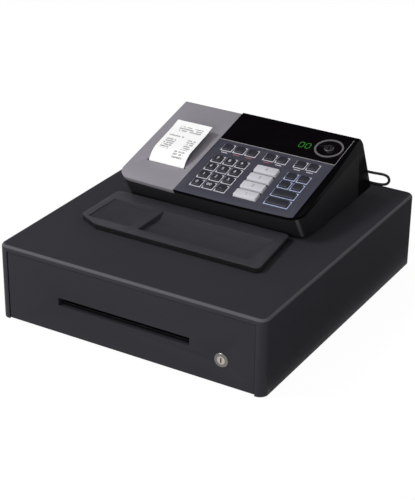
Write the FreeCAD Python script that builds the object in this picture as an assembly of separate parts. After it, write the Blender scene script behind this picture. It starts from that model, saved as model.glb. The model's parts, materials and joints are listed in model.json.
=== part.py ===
import FreeCAD, Part
import math
import os

# Electronic cash register on a steel drawer cabinet.
# Millimetres. X to the right, Y to the back, Z up. The origin is on the surface that the feet stand
# on, below the middle of the cabinet. Every function returns the shape of one piece at its place.

# ---- cabinet ---------------------------------------------------------------------------------------
FOOT_DROP = 3.0             # the feet stand out below the cabinet
FOOT_RADIUS = 9.0
FOOT_INSET_X = 17.0         # foot centre from the cabinet's side
FOOT_INSET_Y = 26.0
CABINET_WIDTH = 410.0
CABINET_DEPTH = 450.0
CABINET_HEIGHT = 111.0
CABINET_CORNER = 12.0       # plan radius of the upright corners
CABINET_TOP_EDGE = 5.0      # round of the top's edge
SHEET = 1.5                 # cabinet steel
PAN_FLANGE = 14.0           # upstand of the bottom pan
PAN_GAP = 0.25              # pan flange to cover
FRONT_LIP = 9.0             # cover's fold above the drawer front
POST_WIDTH = 14.0           # corner posts beside the drawer front
FRONT_GAP = 0.5             # drawer front to posts and lip

# ---- drawer ----------------------------------------------------------------------------------------
DRAWER_SHEET = 1.2
DRAWER_TRAVEL = 330.0
FRONT_RECESS = 1.0          # the panel lies behind the posts' faces
FRONT_THICKNESS = 12.0
FRONT_SKIN = 3.0
FRONT_BOTTOM = 1.2          # panel bottom above the cover's lower edge
PANEL_ROUND = 1.2
DRAWER_FLOOR_CLEAR = 3.5    # drawer above the pan
DRAWER_WALL_HEIGHT = 66.0
DRAWER_REAR_SPACE = 45.0    # behind the drawer, for the release
SLOT_CENTRE_X = -7.0        # media slot in the drawer front
SLOT_CENTRE_Z = 52.0
SLOT_LENGTH = 204.0
SLOT_HEIGHT = 11.5
SLIP_SPACE = 18.0           # between the drawer's front wall and the till

# ---- runners ---------------------------------------------------------------------------------------
RAIL_Z = 60.0
RAIL_SHEET = 1.5
RAIL_INNER = 14.4           # inside height of the channels
RAIL_DEPTH = 10.5           # fixed channel, out from the cover's side
RUNNER_DEPTH = 8.5          # moving channel, out from the drawer's side
RUNNER_GAP = 1.2            # moving channel to the posts' inner edge
SHOE_GAP = 0.3              # nylon shoe to channel
SHOE_LENGTH = 20.0
SHOE_STEM = 8.0
RAIL_END_SPACE = 14.0       # channel ends to the cover's front and back

# ---- till insert -----------------------------------------------------------------------------------
TILL_DEPTH = 50.0
TILL_WALL = 2.2
TILL_RIM = 2.5              # thickness of the rim that hangs on the drawer's walls
TILL_GAP = 0.8
TILL_COLUMNS = 4
COIN_ROWS = 2
COIN_LENGTH = 66.0
COIN_SCOOP = 18.0           # round of a coin cup's floor
CLIP_WIDTH = 15.0
CLIP_HUB = 5.0
CLIP_PIN = 2.0
PIN_CLEAR = 0.05            # running fit, on the radius
CLIP_SIDE_GAP = 0.35
CLIP_SHEET = 2.4
CLIP_REACH = 95.0
CLIP_PIVOT_DROP = 7.0       # pivot below the till's rim
CLIP_PIVOT_BACK = 12.0      # pivot from the till's rear wall
LUG_THICKNESS = 3.0

# ---- lock ------------------------------------------------------------------------------------------
LOCK_FROM_SIDE = 48.5       # lock to the drawer front's right edge
LOCK_Z = 40.0
LOCK_FLANGE = 10.0          # radius
LOCK_BODY = 8.5
LOCK_PLUG = 5.6
LOCK_FLANGE_THICKNESS = 1.0
LOCK_LENGTH = 22.0
LOCK_CAM_THICKNESS = 2.0
LOCK_CAM_LENGTH = 16.0
LOCK_CAM_WIDTH = 9.0
KEY_SLOT_WIDTH = 2.0
KEY_SLOT_LENGTH = 7.5
KEY_SLOT_DEPTH = 5.0

# ---- drawer release --------------------------------------------------------------------------------
LATCH_Z = 28.0
LATCH_THICKNESS = 3.0
LATCH_PIVOT_X = 0.0
LATCH_PIVOT_BACK = 14.0     # pivot from the cover's back
LATCH_PIN = 2.5
LATCH_HUB = 7.0
LATCH_ARM = 26.0            # pivot to the nose's end
LATCH_ARM_WIDTH = 8.0
LATCH_NOSE = 4.0
LATCH_NOSE_SIDE = 3.0       # nose past the arm's side
LATCH_CLEAR = 1.0           # open nose to the drawer's catch
CATCH_SHEET = 2.0
CATCH_LIP = 5.0
CATCH_GAP = 3.0             # nose to the catch's lip along the travel
COIL_RADIUS = 11.0
COIL_LENGTH = 26.0
COIL_GAP = 0.6              # pole to the lever
COIL_FRAME = 2.0

# ---- register housing ------------------------------------------------------------------------------
REGISTER_WIDTH = 292.0
REGISTER_X = -2.5           # middle of the housing
REGISTER_STAND = 3.0        # moulded pads lift the housing off the cabinet
REGISTER_FROM_BACK = 251.7  # top front edge to the cabinet's back
REGISTER_FRONT_HEIGHT = 35.55
REGISTER_SLOPE = 14.18      # degrees, rise of the top towards the back
REGISTER_SLOPE_LENGTH = 202.9
REGISTER_UNDERCUT = 21.7    # the front leans back towards its foot
REGISTER_TAIL = 38.0        # the back leans out towards its foot
REGISTER_BOW = 2.5          # the front bulges this far in plan
REGISTER_CORNER = 20.0
REGISTER_BACK_CORNER = 5.0
WALL = 2.5
RIM_DEPTH = 5.5             # thickness of the top's rim
PANEL_THICKNESS = 3.0
PANEL_GAP = 0.2
LEDGE = 3.0                 # carries the panels' edges
BAND_WIDTH = 11.0           # rim at the right of the panels
DIVIDER_X = -52.0           # panels start here, the printer cover ends here
PANEL_FRONT = 1.6           # along the slope
SEAM = 132.5                # keyboard panel to display, along the slope
DISPLAY_END = 197.5
SEAM_BAR = 6.0
SHOULDER_START = 80.0       # bevel of the right edge, along the slope
SHOULDER_WIDTH = 5.5
SHOULDER_DROP = 9.0
BASE_PLATE = 3.0
BOSS_RADIUS = 4.0
BOSS_INSET = 11.0
BOSS_BITE = 0.5             # the bosses run into the side walls

# ---- printer ---------------------------------------------------------------------------------------
COVER_SHEET = 2.5
COVER_SKIRT = 7.2
COVER_GAP = 0.5
HINGE_RADIUS = 5.0           # barrel, which is also the cover's round rear edge
HINGE_PIN = 1.2
HINGE_EAR = 2.2             # radius of the left ear's knuckle, below the cover's sheet
EAR_CLEAR = 0.25
HINGE_LUG = 3.0
PAPER_WIDTH = 58.0
PAPER_CENTRE_X = -94.0
PAPER_SHEET = 0.4
PAPER_EXIT_S = 52.0
PAPER_EXIT_ANGLE = 55.0
PAPER_BEND = 24.0           # length along the slope until the paper lies level
PAPER_LEVEL = 11.0          # height of the level stretch
PAPER_END_S = 137.0
PAPER_CURL = 2.6
SLOT_SIDE = 3.0             # paper slot past the paper's edges
SLOT_WIDTH = 3.8
SLOT_MARGIN = 0.5           # slot edge to the paper
PLATEN_RADIUS = 6.0
PLATEN_SHAFT = 2.5
PLATEN_S = 59.0
PLATEN_DROP = 16.0
HEAD_SIZE = 9.0
FRAME_SHEET = 1.6
FRAME_SIDE_GAP = 2.0        # paper edge to the frame's side plate
ROLL_RADIUS = 27.0
ROLL_CORE = 6.0
ROLL_FROM_FRONT = 144.7     # roll's axis behind the top's front edge
ROLL_GAP = 0.4
CRADLE_SHEET = 2.0
CRADLE_ANGLE = 62.0         # half angle of the cradle's arc

# ---- keyboard and mode switch ----------------------------------------------------------------------
KEY_TRAVEL = 3.0
KEY_HEIGHT = 2.8            # cap above the panel
KEY_WIDTH = 16.0
KEY_LENGTH = 15.0
KEY_TAPER = 1.3             # each side, foot to top
KEY_CORNER = 1.3            # cut off the cap's corners
KEY_GAP = 0.4               # cap to its aperture
KEY_FLANGE = 1.0            # past the cap's foot
KEY_FLANGE_THICKNESS = 1.2
KEY_FLANGE_GAP = 0.3
KEY_STEM = 4.0
KEY_PITCH_X = 19.5
KEY_PITCH_S = 19.6
KEY_FIRST_S = 28.0
KEY_TOP_S = 116.5
DIGIT_X = -29.0             # first column of the left block
DEPARTMENT_X = 49.5
DEPARTMENT_WIDTH = 37.0
DEPARTMENT_LENGTH = 16.8
ACTION_X = 88.0
WIDE_WIDTH = 35.5
TOP_ROW_X = (-29.0, -9.5, 10.0, 39.0, 58.5, 87.5, 107.0)
BOARD_DROP = 17.0           # top of the board below the panel's face
BOARD_THICKNESS = 1.6
BOARD_POST = 3.5
MODE_X = 107.0
MODE_S = 166.0
MODE_RING = 21.0
MODE_RING_WIDTH = 2.6
MODE_RING_HEIGHT = 0.8
MODE_PLUG = 7.0
MODE_PLUG_HEIGHT = 1.6
MODE_PLUG_DEPTH = 9.0
MODE_SLOT_LENGTH = 8.0

# ---- clerk tray ------------------------------------------------------------------------------------
TRAY_HEIGHT = 9.0
TRAY_FLOOR = 2.4
TRAY_LENGTH = 109.3
TRAY_UNDER = 16.0           # reaches this far behind the top's front edge, below the lip
TRAY_CUT = 34.0             # length of the slanted front left corner
TRAY_LEFT_X = -153.0
TRAY_RIGHT_FRONT_X = 137.0
TRAY_RIGHT_BACK_X = 124.0
TRAY_ROUND = 7.0
TRAY_RIM = 16.0             # front rim of the compartments
TRAY_SIDE_RIM = 12.0
TRAY_BACK_RIM = 27.0
TRAY_DIVIDER_X = -66.0
TRAY_DIVIDER = 12.0
TRAY_SCOOP = 30.0           # ramp length at the left compartment's outer end
TRAY_SLOPE_STRIP = 16.0     # slanted strip at the back of the right compartment

# ---- drawer cable ----------------------------------------------------------------------------------
CABLE_RADIUS = 2.0
CABLE_BACK_Y = 225.0        # the route's points are stated for a cabinet whose back and top are here
CABLE_TOP_Z = 114.0
GLAND_RADIUS = 4.0
GLAND_TIP = 3.0
GROMMET_HEAD = 6.5
HOLE_CLEAR = 0.1
GLAND_FIT = 0.25
CABLE_ROUTE = (
    (112.0, 206.0, 133.0), (112.0, 213.4, 133.0), (117.2, 218.6, 133.0), (138.0, 219.6, 131.8),
    (162.4, 217.4, 134.8), (167.9, 216.4, 127.0), (162.4, 215.4, 119.2), (141.0, 214.2, 118.0),
    (127.0, 213.4, 120.4), (114.5, 213.0, 127.0), (105.7, 213.0, 127.0), (100.3, 213.0, 121.8),
    (100.3, 213.0, 115.5),
)

# ---- worked out from the above ---------------------------------------------------------------------
CABINET_BASE = FOOT_DROP
CABINET_TOP = FOOT_DROP + CABINET_HEIGHT
HALF_WIDTH = CABINET_WIDTH / 2
HALF_DEPTH = CABINET_DEPTH / 2
FRONT_HALF = HALF_WIDTH - POST_WIDTH
FRONT_FACE_Y = -HALF_DEPTH + FRONT_RECESS
FRONT_BACK_Y = FRONT_FACE_Y + FRONT_THICKNESS
FRONT_TOP = CABINET_TOP - FRONT_LIP
DRAWER_HALF = FRONT_HALF - RUNNER_GAP - RUNNER_DEPTH
DRAWER_BOTTOM = CABINET_BASE + SHEET + DRAWER_FLOOR_CLEAR
DRAWER_TOP = DRAWER_BOTTOM + DRAWER_WALL_HEIGHT
DRAWER_BACK_Y = HALF_DEPTH - SHEET - DRAWER_REAR_SPACE
DRAWER_INSIDE_FRONT = FRONT_BACK_Y + DRAWER_SHEET
TILL_FRONT_Y = DRAWER_INSIDE_FRONT + SLIP_SPACE
TILL_BACK_Y = DRAWER_BACK_Y - DRAWER_SHEET - TILL_GAP
TILL_HALF = DRAWER_HALF - DRAWER_SHEET - TILL_GAP
TILL_TOP = DRAWER_TOP + TILL_RIM
TILL_BOTTOM = TILL_TOP - TILL_DEPTH
TILL_PITCH = (2 * TILL_HALF - TILL_WALL) / TILL_COLUMNS
NOTE_FRONT_Y = TILL_FRONT_Y + TILL_WALL + COIN_ROWS * (COIN_LENGTH + TILL_WALL)
CLIP_Y = TILL_BACK_Y - TILL_WALL - CLIP_PIVOT_BACK
CLIP_Z = TILL_TOP - CLIP_PIVOT_DROP
LATCH_PIVOT_Y = HALF_DEPTH - SHEET - LATCH_PIVOT_BACK
LATCH_REACH_Y = LATCH_PIVOT_Y - LATCH_ARM
SLOPE = math.radians(REGISTER_SLOPE)
REGISTER_HALF = REGISTER_WIDTH / 2
REGISTER_LEFT = REGISTER_X - REGISTER_HALF
REGISTER_RIGHT = REGISTER_X + REGISTER_HALF
REGISTER_FRONT_Y = HALF_DEPTH - REGISTER_FROM_BACK
REGISTER_BASE = CABINET_TOP + REGISTER_STAND
REGISTER_FRONT_Z = REGISTER_BASE + REGISTER_FRONT_HEIGHT
PANEL_RIGHT = REGISTER_RIGHT - BAND_WIDTH
HINGE_S = REGISTER_SLOPE_LENGTH - HINGE_RADIUS
ROLL_Y = REGISTER_FRONT_Y + ROLL_FROM_FRONT
TRAY_BACK_Y = REGISTER_FRONT_Y + TRAY_UNDER
TRAY_FRONT_Y = TRAY_BACK_Y - TRAY_LENGTH
LOCK_X = FRONT_HALF - LOCK_FROM_SIDE
COVER_RIGHT = DIVIDER_X - COVER_GAP
BOARD_H = -BOARD_DROP
TRAY_BASE = CABINET_TOP
FAR = 600.0                 # longer than anything here


# ---- helpers ---------------------------------------------------------------------------------------
def block(x0, x1, y0, y1, z0, z1):
    """A box between two corners."""
    return Part.makeBox(x1 - x0, y1 - y0, z1 - z0, FreeCAD.Vector(x0, y0, z0))


def upright_edges(shape):
    """The straight edges along Z."""
    found = []
    for edge in shape.Edges:
        low, high = edge.Vertexes[0].Point, edge.Vertexes[-1].Point
        if abs(low.x - high.x) < 1e-6 and abs(low.y - high.y) < 1e-6 and abs(low.z - high.z) > 1e-6:
            found.append(edge)
    return found


def edges_at(shape, height):
    """The edges that lie wholly at one height."""
    return [edge for edge in shape.Edges
            if abs(edge.BoundBox.ZMin - height) < 1e-4 and abs(edge.BoundBox.ZMax - height) < 1e-4]


def rounded_block(x0, x1, y0, y1, z0, z1, radius):
    """A box with round upright corners."""
    plain = block(x0, x1, y0, y1, z0, z1)
    return plain.makeFillet(radius, upright_edges(plain))


def polygon(points):
    """A face with straight sides, from points in space."""
    corners = [FreeCAD.Vector(*point) for point in points]
    return Part.Face(Part.makePolygon(corners + corners[:1]))


def frustum(low, high):
    """A solid with flat sides between two outlines that have the same number of corners."""
    faces = [polygon(low), polygon(high)]
    for index in range(len(low)):
        after = (index + 1) % len(low)
        faces.append(polygon([low[index], low[after], high[after], high[index]]))
    return Part.Solid(Part.Shell(faces))


def side_prism(outline, x0, x1):
    """An outline of (y, z) points, extruded along X."""
    return polygon([(x0, y, z) for y, z in outline]).extrude(FreeCAD.Vector(x1 - x0, 0, 0))


def plan_prism(outline, z0, z1):
    """An outline of (x, y) points, extruded along Z."""
    return polygon([(x, y, z0) for x, y in outline]).extrude(FreeCAD.Vector(0, 0, z1 - z0))


def rod(radius, length, base, direction):
    """A cylinder from its base point along a direction."""
    return Part.makeCylinder(radius, length, FreeCAD.Vector(*base), FreeCAD.Vector(*direction))


def on_slope(shape):
    """Moves a shape from the flat frame (x, s along the slope, h above it) onto the register's top."""
    moved = shape.copy()
    moved.rotate(FreeCAD.Vector(0, 0, 0), FreeCAD.Vector(1, 0, 0), REGISTER_SLOPE)
    moved.translate(FreeCAD.Vector(0, REGISTER_FRONT_Y, REGISTER_FRONT_Z))
    return moved


def slope_point(s, h):
    """The (y, z) place of a point on the register's top frame."""
    return (REGISTER_FRONT_Y + s * math.cos(SLOPE) - h * math.sin(SLOPE),
            REGISTER_FRONT_Z + s * math.sin(SLOPE) + h * math.cos(SLOPE))


def both_sides(shape):
    """A shape and its mirror image across the middle plane."""
    mirrored = shape.mirror(FreeCAD.Vector(0, 0, 0), FreeCAD.Vector(1, 0, 0))
    return [shape, mirrored]


# ---- cabinet ---------------------------------------------------------------------------------------
def cabinet_block(inset, base, top_inset):
    """The cabinet's form, drawn in by a wall."""
    top = CABINET_TOP - top_inset
    body = rounded_block(-HALF_WIDTH + inset, HALF_WIDTH - inset, -HALF_DEPTH + inset,
                         HALF_DEPTH - inset, base, top, CABINET_CORNER - inset)
    return body.makeFillet(CABINET_TOP_EDGE - top_inset, edges_at(body, top))


def cabinet_shell():
    """Folded steel cover: top, sides, back, corner posts and a lip over the drawer front."""
    shell = cabinet_block(0, CABINET_BASE, 0).cut(cabinet_block(SHEET, CABINET_BASE - SHEET, SHEET))
    half = FRONT_HALF + FRONT_GAP
    mouth = block(-half, half, -HALF_DEPTH - 1, -HALF_DEPTH + CABINET_CORNER,
                  CABINET_BASE - 1, FRONT_TOP + FRONT_GAP)
    x, y, _ = cable_route()[-1]
    outlet = rod(GLAND_RADIUS + HOLE_CLEAR, 4 * SHEET, (x, y, CABINET_TOP - 2 * SHEET), (0, 0, 1))
    return shell.cut(mouth).cut(outlet)


def cabinet_base():
    """Bottom pan with an upstand along the sides and the back, and the latch's post."""
    inset = SHEET + PAN_GAP
    top = CABINET_BASE + PAN_FLANGE
    pan = rounded_block(-HALF_WIDTH + inset, HALF_WIDTH - inset, -HALF_DEPTH + inset,
                        HALF_DEPTH - inset, CABINET_BASE, top, CABINET_CORNER - inset)
    inside = inset + SHEET
    hollow = rounded_block(-HALF_WIDTH + inside, HALF_WIDTH - inside, -HALF_DEPTH + inside,
                           HALF_DEPTH - inside, CABINET_BASE + SHEET, top + 1, CABINET_CORNER - inside)
    front = block(-FAR, FAR, -FAR, FRONT_BACK_Y + FRONT_GAP, 0, top + 1)
    pan = pan.cut(hollow).cut(front)
    post = rod(LATCH_PIN, LATCH_Z + LATCH_THICKNESS - CABINET_BASE,
               (LATCH_PIVOT_X, LATCH_PIVOT_Y, CABINET_BASE), (0, 0, 1))
    collar = rod(LATCH_HUB - 1, LATCH_Z - SHOE_GAP - CABINET_BASE,
                 (LATCH_PIVOT_X, LATCH_PIVOT_Y, CABINET_BASE), (0, 0, 1))
    return pan.fuse([post, collar]).removeSplitter()


def cabinet_feet():
    """Four rubber feet under the pan."""
    feet = []
    for x in (-HALF_WIDTH + FOOT_INSET_X, HALF_WIDTH - FOOT_INSET_X):
        for y in (-HALF_DEPTH + FOOT_INSET_Y, HALF_DEPTH - FOOT_INSET_Y):
            foot = rod(FOOT_RADIUS, FOOT_DROP, (x, y, 0), (0, 0, 1))
            feet.append(foot.makeChamfer(FOOT_DROP / 4, edges_at(foot, 0)))
    return Part.makeCompound(feet)


def channel(web_x, tip_x, y0, y1):
    """A channel on its side: an upright web at web_x and two flanges that end at tip_x."""
    towards = 1 if tip_x > web_x else -1
    outer = RAIL_INNER / 2 + RAIL_SHEET
    body = block(min(web_x, tip_x), max(web_x, tip_x), y0, y1, RAIL_Z - outer, RAIL_Z + outer)
    inner_web = web_x + towards * RAIL_SHEET
    past_tip = tip_x + towards
    return body.cut(block(min(inner_web, past_tip), max(inner_web, past_tip), y0 - 1, y1 + 1,
                          RAIL_Z - RAIL_INNER / 2, RAIL_Z + RAIL_INNER / 2))


def shoe(web_x, near_x, far_x, y0):
    """A nylon shoe between near_x and far_x, on a stem from a channel's web."""
    half = RAIL_INNER / 2 - SHOE_GAP
    pad = block(min(near_x, far_x), max(near_x, far_x), y0, y0 + SHOE_LENGTH, RAIL_Z - half, RAIL_Z + half)
    ends = [edge for edge in pad.Edges if abs(edge.BoundBox.XLength - abs(far_x - near_x)) < 1e-6]
    pad = pad.makeFillet(half / 2, ends)
    stem = block(min(web_x, near_x), max(web_x, near_x), y0 + (SHOE_LENGTH - SHOE_STEM) / 2,
                 y0 + (SHOE_LENGTH + SHOE_STEM) / 2, RAIL_Z - SHOE_STEM / 2, RAIL_Z + SHOE_STEM / 2)
    return pad.fuse(stem).removeSplitter()


def cabinet_rails():
    """Fixed channels on the cover's sides, each with a shoe at its front end."""
    outside = HALF_WIDTH - SHEET
    front = -HALF_DEPTH + RAIL_END_SPACE
    rail = channel(outside, outside - RAIL_DEPTH, front, HALF_DEPTH - RAIL_END_SPACE)
    near = DRAWER_HALF + RUNNER_DEPTH
    pad = shoe(outside - RAIL_SHEET, near, DRAWER_HALF + RAIL_SHEET + SHOE_GAP, front + 1)
    return Part.makeCompound(both_sides(rail) + both_sides(pad))


def drawer_runners():
    """Moving channels on the drawer's sides, each with a shoe at its rear end."""
    runner = channel(DRAWER_HALF, DRAWER_HALF + RUNNER_DEPTH, FRONT_BACK_Y, DRAWER_BACK_Y)
    outside = HALF_WIDTH - SHEET
    near = outside - RAIL_DEPTH + SHOE_GAP
    far = outside - RAIL_SHEET - SHOE_GAP
    pad = shoe(DRAWER_HALF + RAIL_SHEET, near, far, DRAWER_BACK_Y - SHOE_LENGTH)
    return Part.makeCompound(both_sides(runner) + both_sides(pad))


# ---- drawer release --------------------------------------------------------------------------------
def latch_lever():
    """Flat lever on the pan's post. Its nose swings behind the lip of the drawer's catch."""
    x, y = LATCH_PIVOT_X, LATCH_PIVOT_Y
    half = LATCH_ARM_WIDTH / 2
    hub = rod(LATCH_HUB, LATCH_THICKNESS, (x, y, LATCH_Z), (0, 0, 1))
    arm = block(x - half, x + half, LATCH_REACH_Y, y, LATCH_Z, LATCH_Z + LATCH_THICKNESS)
    side = x + half
    nose = plan_prism([(side - 1, LATCH_REACH_Y), (side, LATCH_REACH_Y),
                       (side + LATCH_NOSE_SIDE, LATCH_REACH_Y + LATCH_NOSE / 2),
                       (side + LATCH_NOSE_SIDE, LATCH_REACH_Y + LATCH_NOSE),
                       (side - 1, LATCH_REACH_Y + LATCH_NOSE)], LATCH_Z, LATCH_Z + LATCH_THICKNESS)
    bore = rod(LATCH_PIN + PIN_CLEAR, 3 * LATCH_THICKNESS, (x, y, LATCH_Z - LATCH_THICKNESS), (0, 0, 1))
    return hub.fuse([arm, nose]).cut(bore).removeSplitter()


def release_solenoid():
    """Coil on an angle bracket. Its pole pulls the lever's arm sideways."""
    pole_x = LATCH_PIVOT_X - LATCH_ARM_WIDTH / 2 - COIL_GAP
    middle_y = LATCH_REACH_Y + COIL_RADIUS
    middle_z = LATCH_Z + LATCH_THICKNESS / 2
    coil_x = pole_x - COIL_FRAME - 2
    coil = rod(COIL_RADIUS, COIL_LENGTH, (coil_x - COIL_LENGTH, middle_y, middle_z), (1, 0, 0))
    pole = rod(COIL_RADIUS / 3, pole_x - coil_x, (coil_x, middle_y, middle_z), (1, 0, 0))
    coil = coil.fuse(pole).removeSplitter()
    floor = CABINET_BASE + SHEET
    frame_x = coil_x - COIL_LENGTH
    upright = block(frame_x - COIL_FRAME, frame_x, middle_y - COIL_RADIUS, middle_y + COIL_RADIUS,
                    floor, middle_z + COIL_RADIUS)
    sole = block(frame_x - COIL_FRAME, coil_x, middle_y - COIL_RADIUS, middle_y + COIL_RADIUS,
                 floor, floor + COIL_FRAME)
    return Part.makeCompound([coil, upright.fuse(sole).removeSplitter()])


def drawer_catch():
    """Hook on the drawer's rear wall, with a lip that the lever's nose goes behind."""
    lip_x = LATCH_PIVOT_X + LATCH_ARM_WIDTH / 2 + LATCH_NOSE_SIDE + LATCH_CLEAR
    lip_y = LATCH_REACH_Y + LATCH_NOSE + CATCH_GAP
    outer_x = lip_x + CATCH_LIP
    low, high = LATCH_Z - CATCH_SHEET, LATCH_Z + LATCH_THICKNESS + CATCH_SHEET
    strap = block(outer_x, outer_x + CATCH_SHEET, DRAWER_BACK_Y, lip_y + CATCH_SHEET, low, high)
    lip = block(lip_x, outer_x, lip_y, lip_y + CATCH_SHEET, low, high)
    return strap.fuse(lip)


# ---- drawer ----------------------------------------------------------------------------------------
def media_slot(y0, y1):
    """The slot that slips and large notes are pushed through."""
    return block(SLOT_CENTRE_X - SLOT_LENGTH / 2, SLOT_CENTRE_X + SLOT_LENGTH / 2, y0, y1,
                 SLOT_CENTRE_Z - SLOT_HEIGHT / 2, SLOT_CENTRE_Z + SLOT_HEIGHT / 2)


def drawer_box():
    """Steel drawer with the catch on its rear wall."""
    outside = block(-DRAWER_HALF, DRAWER_HALF, FRONT_BACK_Y, DRAWER_BACK_Y, DRAWER_BOTTOM, DRAWER_TOP)
    inside = block(-DRAWER_HALF + DRAWER_SHEET, DRAWER_HALF - DRAWER_SHEET, DRAWER_INSIDE_FRONT,
                   DRAWER_BACK_Y - DRAWER_SHEET, DRAWER_BOTTOM + DRAWER_SHEET, DRAWER_TOP + 1)
    lock_hole = rod(LOCK_BODY + HOLE_CLEAR, 4 * DRAWER_SHEET, (LOCK_X, FRONT_BACK_Y - 1, LOCK_Z), (0, 1, 0))
    box = outside.cut(inside).cut(media_slot(FRONT_BACK_Y - 1, DRAWER_INSIDE_FRONT + 1)).cut(lock_hole)
    return box.fuse(drawer_catch()).removeSplitter()


def drawer_front():
    """Moulded front panel, hollow behind, with a chute round the media slot and a boss for the lock."""
    bottom = CABINET_BASE + FRONT_BOTTOM
    panel = block(-FRONT_HALF, FRONT_HALF, FRONT_FACE_Y, FRONT_BACK_Y, bottom, FRONT_TOP)
    face_edges = [edge for edge in panel.Edges if edge.BoundBox.YMax < FRONT_FACE_Y + 1e-4]
    panel = panel.makeFillet(PANEL_ROUND, face_edges)
    hollow = block(-FRONT_HALF + FRONT_SKIN, FRONT_HALF - FRONT_SKIN, FRONT_FACE_Y + FRONT_SKIN,
                   FRONT_BACK_Y + 1, bottom + FRONT_SKIN, FRONT_TOP - FRONT_SKIN)
    half_length = SLOT_LENGTH / 2 + FRONT_SKIN
    half_height = SLOT_HEIGHT / 2 + FRONT_SKIN
    chute = block(SLOT_CENTRE_X - half_length, SLOT_CENTRE_X + half_length, FRONT_FACE_Y + FRONT_SKIN / 2,
                  FRONT_BACK_Y, SLOT_CENTRE_Z - half_height, SLOT_CENTRE_Z + half_height)
    boss = rod(LOCK_BODY + FRONT_SKIN, FRONT_THICKNESS - FRONT_SKIN / 2,
               (LOCK_X, FRONT_FACE_Y + FRONT_SKIN / 2, LOCK_Z), (0, 1, 0))
    lock_hole = rod(LOCK_BODY + HOLE_CLEAR, 2 * FRONT_THICKNESS, (LOCK_X, FRONT_FACE_Y - 1, LOCK_Z), (0, 1, 0))
    panel = panel.cut(hollow).fuse([chute, boss])
    return panel.cut(media_slot(FRONT_FACE_Y - 1, FRONT_BACK_Y + 1)).cut(lock_hole).removeSplitter()


def till_columns():
    """The left end of each column of the till's compartments."""
    return [-TILL_HALF + TILL_WALL + column * TILL_PITCH for column in range(TILL_COLUMNS)]


def clip_lug(x):
    """A lug on the till's rear wall that carries one end of a clip's pin."""
    web = block(x, x + LUG_THICKNESS, CLIP_Y, TILL_BACK_Y - TILL_WALL + 0.5, CLIP_Z - CLIP_HUB, CLIP_Z + CLIP_HUB)
    return web.fuse(rod(CLIP_HUB, LUG_THICKNESS, (x, CLIP_Y, CLIP_Z), (1, 0, 0)))


def clip_centres():
    """The middle of each note compartment."""
    return [left + (TILL_PITCH - TILL_WALL) / 2 for left in till_columns()]


def till_insert():
    """Plastic till: coin cups with round floors in front, note compartments with clip lugs behind."""
    body = block(-TILL_HALF, TILL_HALF, TILL_FRONT_Y, TILL_BACK_Y, TILL_BOTTOM, TILL_TOP)
    rim = block(-DRAWER_HALF, DRAWER_HALF, TILL_FRONT_Y, DRAWER_BACK_Y, DRAWER_TOP, TILL_TOP)
    pockets = []
    floor = TILL_BOTTOM + TILL_WALL
    for left in till_columns():
        right = left + TILL_PITCH - TILL_WALL
        for row in range(COIN_ROWS):
            near = TILL_FRONT_Y + TILL_WALL + row * (COIN_LENGTH + TILL_WALL)
            cup = block(left, right, near, near + COIN_LENGTH, floor, TILL_TOP + COIN_SCOOP)
            low = [edge for edge in edges_at(cup, floor) if edge.BoundBox.XLength > 1]
            pockets.append(cup.makeFillet(COIN_SCOOP, low))
        pockets.append(block(left, right, NOTE_FRONT_Y, TILL_BACK_Y - TILL_WALL, floor, TILL_TOP + 1))
    till = body.fuse(rim).cut(pockets)
    lugs = []
    gap = CLIP_WIDTH / 2 + CLIP_SIDE_GAP
    for middle in clip_centres():
        lugs += [clip_lug(middle - gap - LUG_THICKNESS), clip_lug(middle + gap)]
        lugs.append(rod(CLIP_PIN, 2 * gap + LUG_THICKNESS, (middle - gap - LUG_THICKNESS / 2, CLIP_Y, CLIP_Z),
                        (1, 0, 0)))
    return till.fuse(lugs).removeSplitter()


def bill_clip(middle):
    """Sprung arm that presses notes down. Its hub turns on the pin between two lugs."""
    floor = TILL_BOTTOM + TILL_WALL
    tip_y = CLIP_Y - CLIP_REACH
    drop = CLIP_Z - floor
    outline = [(CLIP_Y, CLIP_Z - CLIP_SHEET), (CLIP_Y, CLIP_Z + CLIP_SHEET),
               (CLIP_Y - CLIP_REACH / 2, CLIP_Z - drop / 2 + CLIP_SHEET),
               (tip_y + 3 * CLIP_SHEET, floor + 1.5 * CLIP_SHEET),
               (tip_y, floor + 3 * CLIP_SHEET),
               (tip_y - CLIP_SHEET / 2, floor + 2 * CLIP_SHEET),
               (tip_y + 2.5 * CLIP_SHEET, floor + SHOE_GAP),
               (tip_y + 6 * CLIP_SHEET, floor + SHOE_GAP),
               (CLIP_Y - CLIP_REACH / 2, CLIP_Z - drop / 2 - CLIP_SHEET / 2)]
    x0 = middle - CLIP_WIDTH / 2
    arm = side_prism(outline, x0, x0 + CLIP_WIDTH)
    hub = rod(CLIP_HUB, CLIP_WIDTH, (x0, CLIP_Y, CLIP_Z), (1, 0, 0))
    bore = rod(CLIP_PIN + PIN_CLEAR, CLIP_WIDTH + 2, (x0 - 1, CLIP_Y, CLIP_Z), (1, 0, 0))
    return arm.fuse(hub).cut(bore).removeSplitter()


# ---- lock ------------------------------------------------------------------------------------------
def lock_barrel():
    """Plated lock body with a round face flange."""
    flange = rod(LOCK_FLANGE, LOCK_FLANGE_THICKNESS, (LOCK_X, -HALF_DEPTH, LOCK_Z), (0, 1, 0))
    face = [edge for edge in flange.Edges if edge.BoundBox.YMax < -HALF_DEPTH + 1e-4]
    flange = flange.makeChamfer(LOCK_FLANGE_THICKNESS / 2, face)
    body = rod(LOCK_BODY, LOCK_LENGTH, (LOCK_X, -HALF_DEPTH, LOCK_Z), (0, 1, 0))
    bore = rod(LOCK_PLUG + PIN_CLEAR, LOCK_LENGTH + 2, (LOCK_X, -HALF_DEPTH - 1, LOCK_Z), (0, 1, 0))
    return flange.fuse(body).cut(bore).removeSplitter()


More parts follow.
